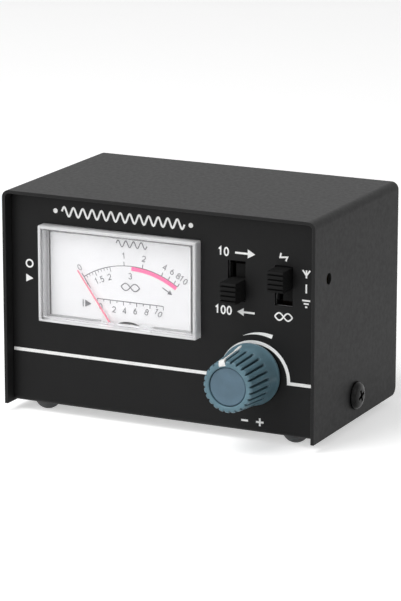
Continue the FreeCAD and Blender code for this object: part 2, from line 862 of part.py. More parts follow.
def make_coil():
    """A wound frame around the core, turned with the needle about the pivot line."""
    body = new_body("moving_coil")
    drawing = sketch(body, "XY_Plane")
    rectangle(drawing, "-coil_reach", "-coil_end", "coil_reach", "coil_end")
    rectangle(drawing, "coil_wall - coil_reach", "-coil_inner_half",
              "coil_reach - coil_wall", "coil_inner_half")
    pad(body, drawing, "coil_band", both_ways=True)
    lean_back(body, "coil_mid")
    return finish(body, "moving_coil")


def lean_back(body, y):
    """Turn a piece of the movement to the needle's rest angle and set it on the pivot line."""
    place(body, "pivot_x", y, "pivot_z", "leaning")
    body.setExpression("Placement.Rotation.Angle", full("-needle_rest_angle"))


def make_coil_pivots():
    pivots = []
    for side, turn in (("-", "-Y"), ("+", "+Y")):
        body = new_body("coil_pivot")
        revolve(body, [
            ("0", "0"), ("hub_radius", "0"), ("hub_radius", "0.15 * pivot_reach"),
            ("pivot_radius", "0.15 * pivot_reach"),
            ("pivot_radius", "0.96 * pivot_reach"), ("0", "0.96 * pivot_reach"),
        ])
        place(body, "pivot_x", f"coil_mid {side} coil_end", "pivot_z", turn)
        pivots.append(body)
    together("coil_pivots", pivots)


def make_needle():
    """Hub and tail behind the front bridge, then a step forward past it to the dial side."""
    body = new_body("needle")
    hub_front = "(coil_mid - coil_end - 0.55 * pivot_reach)"
    hub_thick = "0.35 * pivot_reach"
    half = "needle_width / 2"
    step = "(bridge_tall / 2 + needle_step)"
    tail = "(0.5 * yoke_outer)"
    drawing = sketch(body, "XZ_Plane", f"coil_mid - {hub_front}")
    ring(drawing, "0", "0", "hub_radius")
    ring(drawing, "0", "0", "pivot_radius + thread_clearance")
    pad(body, drawing, hub_thick, backwards=True)
    drawing = sketch(body, "XZ_Plane", f"coil_mid - {hub_front}")
    rectangle(drawing, f"-{half}", "0.8 * hub_radius", half, step)
    rectangle(drawing, f"-{half} * 2", f"-{tail}", f"{half} * 2", "-0.8 * hub_radius")
    pad(body, drawing, "needle_thick", backwards=True)
    drawing = sketch(body, "XZ_Plane", "coil_mid - needle_front")
    rectangle(drawing, f"-{half}", f"{step} - needle_thick", half, step)
    pad(body, drawing, f"{hub_front} + needle_thick - needle_front", backwards=True)
    drawing = sketch(body, "XZ_Plane", "coil_mid - needle_front")
    tip = "needle_length"
    outline(drawing, [
        (f"-{half}", f"{step} - needle_thick"), (half, f"{step} - needle_thick"),
        (f"{half} * 0.7", tip), (f"-{half} * 0.7", tip),
    ])
    pad(body, drawing, "needle_thick", backwards=True)
    # a weight on the tail balances the blade
    drawing = sketch(body, "XZ_Plane", f"coil_mid - {hub_front}")
    rectangle(drawing, "-hub_radius", f"-{tail} - hub_radius", "hub_radius", f"-{tail}")
    pad(body, drawing, hub_thick, backwards=True)
    lean_back(body, "coil_mid")
    return finish(body, "needle")


def spiral_strip(inner, pitch, turns, thick, wide):
    """A flat spiral strip of half circles about the Z axis; the centres alternate."""
    sides = []
    for offset in (0, thick):
        for k in range(2 * turns):
            centre = Vector(k % 2 * pitch / 2, 0, 0)
            begin = 180 * (k % 2)
            radius = inner + offset + k * pitch / 2
            sides.append(Part.makeCircle(radius, centre, Vector(0, 0, 1), begin, begin + 180))
    outer_end = inner + 2 * turns * pitch / 2
    for x in (inner, outer_end):
        sides.append(Part.makeLine(Vector(x, 0, 0), Vector(x + thick, 0, 0)))
    loop = Part.Wire(Part.sortEdges(sides)[0])
    return Part.Face(loop).extrude(Vector(0, 0, wide))


def make_hairsprings():
    """The two spirals that carry current to the coil and bring the needle back."""
    springs = []
    for name, side, turn in (("hairspring_front", "-", "-Y"), ("hairspring_rear", "+", "+Y")):
        thing = document.addObject("Part::Feature", name)
        thing.Shape = spiral_strip(0.6 * size("hub_radius"), size("spring_pitch"), SPRING_TURNS,
                                   size("spring_thick"), size("spring_wide"))
        place(thing, "pivot_x", f"coil_mid {side} (coil_end + 0.7 * pivot_reach)",
              "pivot_z", turn)
        springs.append(thing)
    together("hairsprings", springs)


def make_meter_terminals():
    studs, nuts = [], []
    for sign in "-+":
        x = f"lens_centre_x {sign} terminal_spread / 2"
        stud = new_body("meter_terminal")
        revolve(stud, [
            ("0", "-0.6 * case_wall"), ("1.8 * terminal_radius", "-0.6 * case_wall"),
            ("1.8 * terminal_radius", "0"), ("terminal_radius", "0"),
            ("terminal_radius", "terminal_length"), ("0", "terminal_length"),
        ])
        place(stud, x, "case_back - case_wall", "terminal_z", "+Y")
        studs.append(stud)
        nut = hex_nut("terminal_nut", "small_nut_across", "small_nut_thick",
                      "terminal_radius + thread_clearance")
        place(nut, x, "case_back", "terminal_z", "+Y")
        nuts.append(nut)
    together("meter_terminals", studs)
    together("terminal_nuts", nuts)


# ------------------------------------------------------------------- slide switches
def pin_spots(centre):
    return [
        (f"{centre} {side} pin_spread / 2", f"slot_z + {row} * pin_pitch")
        for side in "-+" for row in (-1, 0, 1)
    ]


def make_switch(name, centre, shift):
    """One slide switch; `shift` is the lever's place from the middle of its slot."""
    half = "switch_width / 2"
    low, high = "slot_z - switch_tall / 2", "slot_z + switch_tall / 2"

    shell = plate(f"{name}_switch_shell", f"{centre} - {half}", low, f"{centre} + {half}",
                  high, "switch_front", "switch_depth")
    drawing = sketch(shell, "XZ_Plane", "-switch_back")
    rectangle(drawing, f"{centre} - {half} + switch_wall", f"{low} + switch_wall",
              f"{centre} + {half} - switch_wall", f"{high} - switch_wall")
    pocket(shell, drawing, "switch_depth - switch_wall", backwards=True)
    drawing = sketch(shell, "XZ_Plane", "-switch_front")
    rectangle(drawing, f"{centre} - slot_width / 2", "slot_z - slot_tall / 2",
              f"{centre} + slot_width / 2", "slot_z + slot_tall / 2")
    pocket(shell, drawing, "2 * switch_wall")
    finish(shell, f"{name}_switch_shell")

    base = plate(f"{name}_switch_base", f"{centre} - {half}", low, f"{centre} + {half}",
                 high, "switch_back", "base_thick")
    through_holes(base, pin_spots(centre), "pin_radius + thread_clearance")
    finish(base, f"{name}_switch_base")

    lever = new_body(f"{name}_lever")
    slider_front = "(switch_front + switch_wall + slider_play)"
    slider_half = f"({half} - switch_wall - switch_play)"
    middle = f"(slot_z + {shift})"
    drawing = sketch(lever, "XZ_Plane", f"-{slider_front}")
    rectangle(drawing, f"{centre} - {slider_half}", f"{middle} - slider_tall / 2",
              f"{centre} + {slider_half}", f"{middle} + slider_tall / 2")
    pad(lever, drawing, "slider_depth", backwards=True)
    drawing = sketch(lever, "XZ_Plane", f"-{slider_front}")
    rectangle(drawing, f"{centre} - lever_width / 2", f"{middle} - lever_tall / 2",
              f"{centre} + lever_width / 2", f"{middle} + lever_tall / 2")
    pad(lever, drawing, f"{slider_front} - panel_front + lever_reach")
    # grip ribs across the lever's face
    drawing = sketch(lever, "YZ_Plane", centre)
    face = "(panel_front - lever_reach)"
    for groove in (-1.5, -0.5, 0.5, 1.5):
        height = f"({middle} + {groove} * groove_pitch)"
        rectangle(drawing, f"{face} - overcut", f"{height} - groove_width / 2",
                  f"{face} + groove_depth", f"{height} + groove_width / 2")
    pocket(lever, drawing, "2 * lever_width", both_ways=True)
    finish(lever, f"{name}_lever")

    clip_front = f"({slider_front} + slider_depth)"
    clips = [
        plate(f"{name}_clip", f"{centre} {side} pin_spread / 2 - clip_width / 2",
              f"{middle} - clip_tall / 2", f"{centre} {side} pin_spread / 2 + clip_width / 2",
              f"{middle} + clip_tall / 2", clip_front, "switch_wall")
        for side in "-+"
    ]
    together(f"{name}_clips", clips)

    pins = []
    pin_front = f"({clip_front} + switch_wall + switch_play)"
    for x, z in pin_spots(centre):
        pin = rod(f"{name}_pin", "pin_radius", "0",
                  f"control_front + board_thick + pin_stand - {pin_front}")
        place(pin, x, pin_front, z, "+Y")
        pins.append(pin)
    together(f"{name}_switch_pins", pins)


def make_control_board():
    board = plate("control_board", "control_left", "base + control_low", "control_right",
                  "base + control_high", "control_front", "board_thick")
    holes = pin_spots("range_x") + pin_spots("mode_x")
    through_holes(board, holes, "pin_radius + thread_clearance")
    drawing = sketch(board, "XZ_Plane")
    wide, tall = "(leg_width / 2 + leg_clearance)", "(leg_thick / 2 + leg_clearance)"
    for x, z in pot_leg_spots():
        rectangle(drawing, f"{x} - {wide}", f"{z} - {tall}", f"{x} + {wide}", f"{z} + {tall}")
    pocket(board, drawing, "3 * cover_depth", both_ways=True)
    finish(board, "control_board")


# --------------------------------------------------------------- calibration control
def pot_leg_spots():
    return [(f"(knob_x + {step} * leg_pitch)", "(base + control_low + leg_up)") for step in (-1, 0, 1)]


def make_potentiometer():
    frame = new_body("pot_frame")
    revolve(frame, [
        ("shaft_radius + shaft_fit", "-chassis_wall - bushing_reach"),
        ("bushing_radius", "-chassis_wall - bushing_reach"), ("bushing_radius", "0"),
        ("pot_radius", "0"), ("pot_radius", "pot_plate"),
        ("shaft_radius + shaft_fit", "pot_plate"),
    ])
    place(frame, "knob_x", "panel_back", "knob_z", "+Y")
    finish(frame, "pot_frame")

    can = new_body("pot_can")
    revolve(can, [
        ("pot_radius - pot_wall", "0"), ("pot_radius", "0"), ("pot_radius", "pot_depth"),
        ("0", "pot_depth"), ("0", "pot_depth - pot_wall"),
        ("pot_radius - pot_wall", "pot_depth - pot_wall"),
    ])
    drawing = sketch(can)
    rectangle(drawing, "-0.85 * pot_radius", "-1.5 * pot_radius", "0.85 * pot_radius", "0")
    pocket(can, drawing, "wafer_thick + pot_wall", backwards=True)
    place(can, "knob_x", "panel_back + pot_plate", "knob_z", "+Y")
    finish(can, "pot_can")

    wafer = new_body("pot_wafer")
    drawing = sketch(wafer)
    ring(drawing, "0", "0", "pot_radius - pot_wall - wafer_fit")
    ring(drawing, "0", "0", "shaft_radius + 4 * shaft_fit")
    pad(wafer, drawing, "wafer_thick")
    drawing = sketch(wafer)
    rectangle(drawing, "-0.8 * pot_radius", "-1.28 * pot_radius",
              "0.8 * pot_radius", "-0.5 * pot_radius")
    pad(wafer, drawing, "wafer_thick")
    place(wafer, "knob_x", "panel_back + pot_plate", "knob_z", "+Y")
    finish(wafer, "pot_wafer")

    legs = []
    leg_front = "(panel_back + pot_plate + wafer_thick)"
    for x, z in pot_leg_spots():
        left, right = f"{x} - leg_width / 2", f"{x} + leg_width / 2"
        leg = plate("pot_leg", left, "knob_z + 1.02 * pot_radius", right,
                    f"{z} + leg_thick / 2", leg_front, "leg_thick")
        drawing = sketch(leg, "XZ_Plane", f"-{leg_front}")
        rectangle(drawing, left, f"{z} - leg_thick / 2", right, f"{z} + leg_thick / 2")
        pad(leg, drawing, f"control_front + board_thick + pin_stand - {leg_front}", backwards=True)
        legs.append(leg)
    together("pot_legs", legs)

    washer = rod("pot_washer", "washer_radius", "0", "washer_thick",
                 "bushing_radius + hole_clearance")
    place(washer, "knob_x", "panel_front", "knob_z", "-Y")
    finish(washer, "pot_washer")
    nut = hex_nut("pot_nut", "nut_across", "nut_thick", "bushing_radius + thread_clearance")
    place(nut, "knob_x", "panel_front - washer_thick", "knob_z", "-Y")
    finish(nut, "pot_nut")

    wiper_front = "(panel_back + pot_plate + wafer_thick + wiper_gap)"
    wiper = rod("pot_wiper", "0.66 * pot_radius", "0", "wiper_thick",
                "shaft_radius + thread_clearance")
    place(wiper, "knob_x", wiper_front, "knob_z", "+Y")
    finish(wiper, "pot_wiper")
    shaft = rod("pot_shaft", "shaft_radius", "0", f"{wiper_front} + 1.3 * wiper_thick - shaft_tip")
    place(shaft, "knob_x", "shaft_tip", "knob_z", "+Y")
    finish(shaft, "pot_shaft")


def make_knob():
    knob = new_body("cal_knob")
    bore = "shaft_radius + thread_clearance"
    revolve(knob, [
        ("knob_cavity", "0"), ("skirt_radius", "0"), ("skirt_radius", "skirt_thick"),
        ("flare_radius", "skirt_thick"), ("knob_back_radius", "skirt_tall"),
        ("knob_front_radius", "knob_tall"),
        ("cap_radius", "knob_tall"), ("cap_radius", "cap_seat"), ("0", "cap_seat"),
        ("0", "knob_back - shaft_tip + overcut"), (bore, "knob_back - shaft_tip + overcut"),
        (bore, "knob_cavity_depth"), ("knob_cavity", "knob_cavity_depth"),
    ])
    # one groove down the grip, following its taper, then all round
    drawing = sketch(knob, "XZ_Plane")
    bite = "0.75 * flute_radius"
    outline(drawing, [
        (f"knob_front_radius - {bite}", "knob_tall + overcut"),
        ("1.2 * knob_front_radius", "knob_tall + overcut"),
        ("1.2 * knob_back_radius", "skirt_tall"),
        (f"knob_back_radius - 0.3 * {bite}", "skirt_tall"),
    ])
    groove = pocket(knob, drawing, "1.3 * flute_radius", both_ways=True)
    pattern = knob.newObject("PartDesign::PolarPattern", "cal_knob_flutes")
    pattern.Originals = [groove]
    z_axis = [line for line in knob.Origin.OriginFeatures if line.Role == "Z_Axis"]
    pattern.Axis = (z_axis[0], [""])
    pattern.Angle = 360
    pattern.setExpression("Occurrences", full("flute_count"))
    knob.Tip = pattern
    # the pointer is a ridge from the front rim down to the skirt
    drawing = sketch(knob, "YZ_Plane")
    outline(drawing, [
        ("knob_front_radius - 3 * pointer_rise", "knob_tall"),
        ("knob_front_radius + pointer_rise", "knob_tall"),
        ("knob_back_radius + pointer_rise", "skirt_tall"),
        ("flare_radius", "2 * skirt_thick"),
        ("knob_back_radius - 3 * pointer_rise", "2 * skirt_thick"),
    ])
    pad(knob, drawing, "pointer_width", both_ways=True)
    place(knob, "knob_x", "knob_back", "knob_z", "-Y")
    turned_left = Rotation(Vector(0, 0, 1), size("pointer_angle"))
    knob.Placement.Rotation = TURNS["-Y"].multiply(turned_left)
    finish(knob, "cal_knob")
    cap = rod("knob_cap", "cap_radius - cap_fit", "0", "cap_thick")
    place(cap, "knob_x", "knob_back - cap_seat", "knob_z", "-Y")
    finish(cap, "knob_cap")


def make_trimmer():
    """A small preset beside the switches; a screwdriver reaches it through the cover."""
    body = new_body("trimmer_body")
    drawing = sketch(body, "YZ_Plane", "(trimmer_face - trimmer_thick)")
    half = "trimmer_side / 2"
    rectangle(drawing, f"trim_y - {half}", f"trim_z - {half}",
              "control_front", f"trim_z + {half}")
    pad(body, drawing, "trimmer_thick")
    drawing = sketch(body, "YZ_Plane", "trimmer_face")
    ring(drawing, "trim_y", "trim_z", "rotor_radius + rotor_fit")
    pocket(body, drawing, "rotor_thick")
    finish(body, "trimmer_body")

    rotor = rod("trimmer_rotor", "rotor_radius", "rotor_fit", "1.12 * rotor_thick")
    drawing = sketch(rotor, "XY_Plane", "1.12 * rotor_thick")
    arm, web = "0.8 * rotor_radius", "0.14 * rotor_radius"
    rectangle(drawing, f"-{arm}", f"-{web}", arm, web)
    pocket(rotor, drawing, "0.5 * rotor_thick")
    place(rotor, "trimmer_face - rotor_thick", "trim_y", "trim_z", "+X")
    finish(rotor, "trimmer_rotor")


# ------------------------------------------------------------- sockets and coupler
def make_socket(name, centre):
    mouth = "(flange_thick + barrel_length)"
    shell = new_body(f"{name}_socket_shell")
    revolve(shell, [
        ("barrel_bore", "-boss_length"), ("boss_radius", "-boss_length"),
        ("boss_radius", "0"), ("barrel_radius", "0"), ("barrel_radius", mouth),
        ("barrel_bore", mouth),
    ])
    drawing = sketch(shell)
    half = "flange_side / 2"
    rectangle(drawing, f"-{half}", f"-{half}", half, half)
    ring(drawing, "0", "0", "(barrel_radius + barrel_bore) / 2")
    for a in "+-":
        for b in "+-":
            ring(drawing, f"0 {a} flange_spacing / 2", f"0 {b} flange_spacing / 2",
                 "small_screw_radius + hole_clearance")
    pad(shell, drawing, "flange_thick")
    place(shell, centre, "rear_face", "socket_z", "+Y")
    finish(shell, f"{name}_socket_shell")

    core = rod(f"{name}_insulator", "barrel_bore - socket_fit", "-insulator_tail",
               f"{mouth} - insulator_recess", "contact_radius + socket_fit")
    place(core, centre, "rear_face", "socket_z", "+Y")
    finish(core, f"{name}_insulator")

    contact = new_body(f"{name}_contact")
    tip = f"({mouth} - 0.5 * insulator_recess)"
    revolve(contact, [
        ("0", "-contact_tail"), ("contact_radius", "-contact_tail"),
        ("contact_radius", tip), ("contact_bore", tip),
        ("contact_bore", f"{tip} - contact_bore_depth"), ("0", f"{tip} - contact_bore_depth"),
    ])
    place(contact, centre, "rear_face", "socket_z", "+Y")
    finish(contact, f"{name}_contact")


def make_socket_fasteners():
    screws, nuts = [], []
    for sign in ("-", ""):
        for x, z in flange_corners(f"{sign}socket_x"):
            one = screw("socket_screw", "small_screw_radius", "small_screw_length",
                        "small_head_radius", "small_head_rise")
            place(one, x, "rear_face + flange_thick", z, "+Y")
            screws.append(one)
            nut = hex_nut("socket_nut", "small_nut_across", "small_nut_thick",
                          "small_screw_radius + thread_clearance")
            place(nut, x, "rear_inner", z, "-Y")
            nuts.append(nut)
    together("socket_screws", screws)
    together("socket_nuts", nuts)


def make_coupler():
    """Board and strip line that join the two sockets, with a pickup above and below."""
    half_tall = "coupler_tall / 2"
    board = plate("coupler_board", "-coupler_width / 2", f"socket_z - {half_tall}",
                  "coupler_width / 2", f"socket_z + {half_tall}", "coupler_front", "board_thick")
    contacts = [("-socket_x", "socket_z"), ("socket_x", "socket_z")]
    through_holes(board, contacts, "contact_radius + socket_fit")
    finish(board, "coupler_board")
    strip_front = "(coupler_front - strip_thick)"
    line = plate("line_strip", "-socket_x - line_width", "socket_z - line_width / 2",
                 "socket_x + line_width", "socket_z + line_width / 2", strip_front, "strip_thick")
    through_holes(line, contacts, "contact_radius + socket_fit")
    finish(line, "line_strip")
    pickups = [
        plate("pickup_strip", "-0.6 * socket_x", f"socket_z {sign} pickup_offset - pickup_width / 2",
              "0.6 * socket_x", f"socket_z {sign} pickup_offset + pickup_width / 2",
              strip_front, "strip_thick")
        for sign in "-+"
    ]
    together("pickup_strips", pickups)


def bent_tube(corners, radius):
    """A round bar along straight runs joined by tangent arcs as large as the runs allow."""
    points = [Vector(*corner) for corner in corners]
    parts = []
    start = points[0]
    for before, corner, after in zip(points, points[1:], points[2:]):
        back = (before - corner).normalize()
        ahead = (after - corner).normalize()
        turn = math.pi - back.getAngle(ahead)
        cut = 0.45 * min((before - corner).Length, (after - corner).Length)
        bend = cut / math.tan(turn / 2)
        inward = (back + ahead).normalize()
        middle = corner + inward * (bend / math.cos(turn / 2) - bend)
        first, last = corner + back * cut, corner + ahead * cut
        parts.append(Part.makeLine(start, first))
        parts.append(Part.Arc(first, middle, last).toShape())
        start = last
    parts.append(Part.makeLine(start, points[-1]))
    section = Part.Wire(Part.makeCircle(radius, points[0], points[1] - points[0]))
    return Part.Wire(parts).makePipeShell([section], True, False)


def leaded_part(name, x, z, radius, length, pitch):
    """A small round part lying along X on the coupler board, on two bent leads."""
    x, z = x * size("socket_x"), z * size("coupler_tall") / 2 + size("socket_z")
    board = size("coupler_front")
    axis = board - radius - size("part_stand")
    lead = bent_tube([
        (x - pitch / 2, board, z), (x - pitch / 2, axis, z),
        (x + pitch / 2, axis, z), (x + pitch / 2, board, z),
    ], size("lead_radius"))
    core = Part.makeCylinder(radius, length, Vector(x - length / 2, axis, z), Vector(1, 0, 0))
    thing = document.addObject("Part::Feature", name)
    thing.Shape = core.fuse(lead)
    return thing


def make_coupler_parts():
    # radius, length and lead pitch of each kind; its places are shares of the way from the
    # board's centre to a socket and to the board's edge
    kinds = {
        "diodes": (0.95, 3.8, 8.0, ((-0.5, 0.64), (0.5, 0.64))),
        "resistors": (1.15, 6.0, 10.0, ((-0.5, -0.64), (0.5, -0.64), (0.0, 0.81))),
        "capacitors": (2.0, 1.8, 5.0, ((-1.15, 0.64), (1.15, 0.64))),
    }
    for name, (radius, length, pitch, spots) in kinds.items():
        together(name, [leaded_part(name[:-1], x, z, radius, length, pitch) for x, z in spots])


def wire(name, corners):
    thing = document.addObject("Part::Feature", name)
    thing.Shape = bent_tube(corners, size("wire_radius"))
    return thing


def make_wires():
    """Three leads from the coupler board to the control board, two on to the meter."""
    board_back = size("control_front") + size("board_thick")
    coupler = size("coupler_front")
    pitch, run = size("wire_pitch"), size("wire_run")
    low = size("socket_z") - 0.4 * size("coupler_tall")
    middle_x = (size("range_x") + size("mode_x")) / 2
    wires = []
    for step in (-1, 0, 1):
        x, z = middle_x + 0.6 * pitch * step, size("slot_z") + 0.9 * pitch * step
        wires.append(wire("lead_wire", [
            (pitch * step, coupler, low), (pitch * step, coupler - run, low),
            (x, board_back + run, z), (x, board_back, z),
        ]))
    stud_end = size("case_back") - size("case_wall") + size("terminal_length")
    top = size("base") + size("control_high") - pitch
    for step in (-1, 1):
        x = size("lens_centre_x") + step * size("terminal_spread") / 2
        from_x = size("control_left") + pitch * (1 + 0.3 * step)
        from_z = top + 0.3 * pitch * step
        wires.append(wire("lead_wire", [
            (from_x, board_back, from_z), (from_x, board_back + 1.5 * run, from_z),
            (x, stud_end + run, size("terminal_z")), (x, stud_end, size("terminal_z")),
        ]))
    together("lead_wires", wires)


# ---------------------------------------------------------------------- the assembly
make_chassis()
make_cover()
make_cover_screws()
make_feet()
make_lens()
make_meter_case()
make_meter_nuts()
make_dial()
make_dial_screws()
make_movement_frame()
make_jewel_screws()
make_core_and_yoke()
make_coil()
make_coil_pivots()
make_needle()
make_hairsprings()
make_meter_terminals()
make_switch("range", "range_x", "(0 - lever_travel / 2)")
make_switch("mode", "mode_x", "(lever_travel / 2)")
make_control_board()
make_potentiometer()
make_knob()
make_trimmer()
make_socket("tx", "-socket_x")
make_socket("antenna", "socket_x")
make_socket_fasteners()
make_coupler()
make_coupler_parts()
make_wires()
document.recompute()

# every object has to have computed, and every sub-part has to be sound
for thing in document.Objects:
    if "Invalid" in thing.State or "Error" in thing.State:
        raise RuntimeError(f"{thing.Label} failed: {thing.State}")
for body, feature in CUTS:
    before = feature.getBaseObject().Shape.Volume
    if not before - feature.Shape.Volume > 1e-6:
        raise RuntimeError(f"{feature.Label} on {body.Label} cut nothing")
for node in NODES:
    if node.Shape.isNull() or not node.Shape.isValid():
        raise RuntimeError(f"{node.Label} has no sound shape")
for node in NODES:
    node.Shape.exportStep(f"parts/{node.Label}.step")
print(len(NODES), "sub-parts written")
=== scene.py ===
"""Looks of a radio power and standing-wave meter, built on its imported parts.

Everything is in the parts' own frame: +X right as seen from the front, +Y to the rear, +Z up,
in metres. Sizes inside the functions are written in millimetres and scaled by MM.
"""

import math

import bmesh
import bpy
from bpy.props import FloatProperty, FloatVectorProperty, IntProperty, PointerProperty
from mathutils import Matrix, Vector


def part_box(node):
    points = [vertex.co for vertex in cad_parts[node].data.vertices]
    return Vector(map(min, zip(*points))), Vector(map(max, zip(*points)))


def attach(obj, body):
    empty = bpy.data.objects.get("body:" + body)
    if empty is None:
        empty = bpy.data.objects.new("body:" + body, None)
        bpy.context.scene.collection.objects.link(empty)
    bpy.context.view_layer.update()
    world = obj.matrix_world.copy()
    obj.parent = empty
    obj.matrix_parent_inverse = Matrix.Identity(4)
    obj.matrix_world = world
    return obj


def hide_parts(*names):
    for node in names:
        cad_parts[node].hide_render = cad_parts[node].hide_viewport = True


bl_info = {
    "name": "Radio power meter",
    "version": (1, 0, 0),
    "blender": (4, 5, 0),
    "location": "3D View > Sidebar > Power meter",
    "description": "Builds the looks of a radio power meter on its packed parts",
    "category": "Add Mesh",
}

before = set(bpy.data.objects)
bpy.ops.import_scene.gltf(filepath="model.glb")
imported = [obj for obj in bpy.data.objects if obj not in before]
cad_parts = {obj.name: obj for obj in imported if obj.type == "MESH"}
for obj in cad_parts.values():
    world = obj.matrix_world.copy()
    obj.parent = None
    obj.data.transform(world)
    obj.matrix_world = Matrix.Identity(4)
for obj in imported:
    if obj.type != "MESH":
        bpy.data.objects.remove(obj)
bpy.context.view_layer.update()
MM = 0.001

# which way a piece's own +Z points once it is set down
FACING = {
    "up": Matrix.Identity(4),
    "front": Matrix.Rotation(math.radians(90), 4, "X"),
    "rear": Matrix.Rotation(math.radians(-90), 4, "X"),
    "right": Matrix.Rotation(math.radians(90), 4, "Y"),
    "left": Matrix.Rotation(math.radians(-90), 4, "Y"),
}


def low(node):
    """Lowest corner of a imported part, in millimetres."""
    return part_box(node)[0] / MM


def high(node):
    """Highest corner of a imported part, in millimetres."""
    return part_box(node)[1] / MM


def middle(node):
    """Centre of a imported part's box, in millimetres."""
    return (low(node) + high(node)) / 2


# --------------------------------------------------------------------------- settings
def colour(name, description, value):
    return FloatVectorProperty(name=name, description=description, subtype="COLOR", size=3,
                               min=0, max=1, default=value)


def length(name, description, value):
    return FloatProperty(name=name, description=description, unit="LENGTH", subtype="DISTANCE",
                         default=value * MM)


class PaintSettings(bpy.types.PropertyGroup):
    steel: colour("Cover paint", "Powder coat of the cover", (0.0135, 0.0135, 0.0137))
    panel: colour("Panel paint", "Powder coat of the chassis", (0.0078, 0.0078, 0.008))
    print_white: colour("Panel print", "Ink of the lines and signs on the panel",
                        (0.94, 0.94, 0.93))
    screw: colour("Screws", "Black oxide of the side screws", (0.005, 0.005, 0.005))
    line_width: length("Line width", "Width of the line across the panel", 1.0)
    line_height: length("Line height", "Height of that line above the ground", 19.0)
    arc_radius: length("Arc radius", "Radius of the printed arc over the knob", 10.8)


class DialSettings(bpy.types.PropertyGroup):
    face: colour("Dial face", "Colour of the dial plate", (0.8, 0.8, 0.8))
    ink: colour("Dial ink", "Colour of the scale lines and numbers", (0.16, 0.16, 0.17))
    band: colour("Band", "Colour of the band on the upper scale", (1.0, 0.16, 0.36))
    needle: colour("Needle", "Colour of the needle", (0.9, 0.24, 0.34))
    scale_radius: length("Scale radius", "Radius of the upper scale's line", 28.0)
    digit_height: length("Digit height", "Height of the numbers on the dial", 1.75)


class KnobSettings(bpy.types.PropertyGroup):
    grip: colour("Knob", "Colour of the knob", (0.115, 0.205, 0.25))
    cap: colour("Knob cap", "Colour of the disc in the knob's face", (0.105, 0.172, 0.225))
    pointer: colour("Pointer", "Colour of the pointer", (0.9, 0.9, 0.88))
    grooves: IntProperty(name="Grooves", description="Grooves around the grip", default=24, min=6)
    groove_depth: length("Groove depth", "Depth of one groove", 0.72)


class SocketSettings(bpy.types.PropertyGroup):
    nickel: colour("Nickel", "Plating of the sockets", (0.62, 0.6, 0.56))
    pitch: length("Thread pitch", "Pitch of the thread on the barrels", 1.058)
    thread_depth: length("Thread depth", "Depth of the thread", 0.55)


class StageSettings(bpy.types.PropertyGroup):
    key: FloatProperty(name="Overhead lamp", description="Power of the overhead lamp", default=5.6,
                       unit="POWER", min=0)
    fill: FloatProperty(name="Side lamp", description="Power of the lamp at the right",
                        default=0.66, unit="POWER", min=0)
    front: FloatProperty(name="Front lamp", description="Power of the lamp at the front left",
                         default=3.9, unit="POWER", min=0)
    sky: FloatProperty(name="Surroundings", description="Light from all round", default=0.28,
                       min=0)
    focal: FloatProperty(name="Focal length", description="Focal length of the camera in mm",
                         default=192.7, min=10)


def settings(group):
    return getattr(bpy.context.scene, "power_meter_" + group)


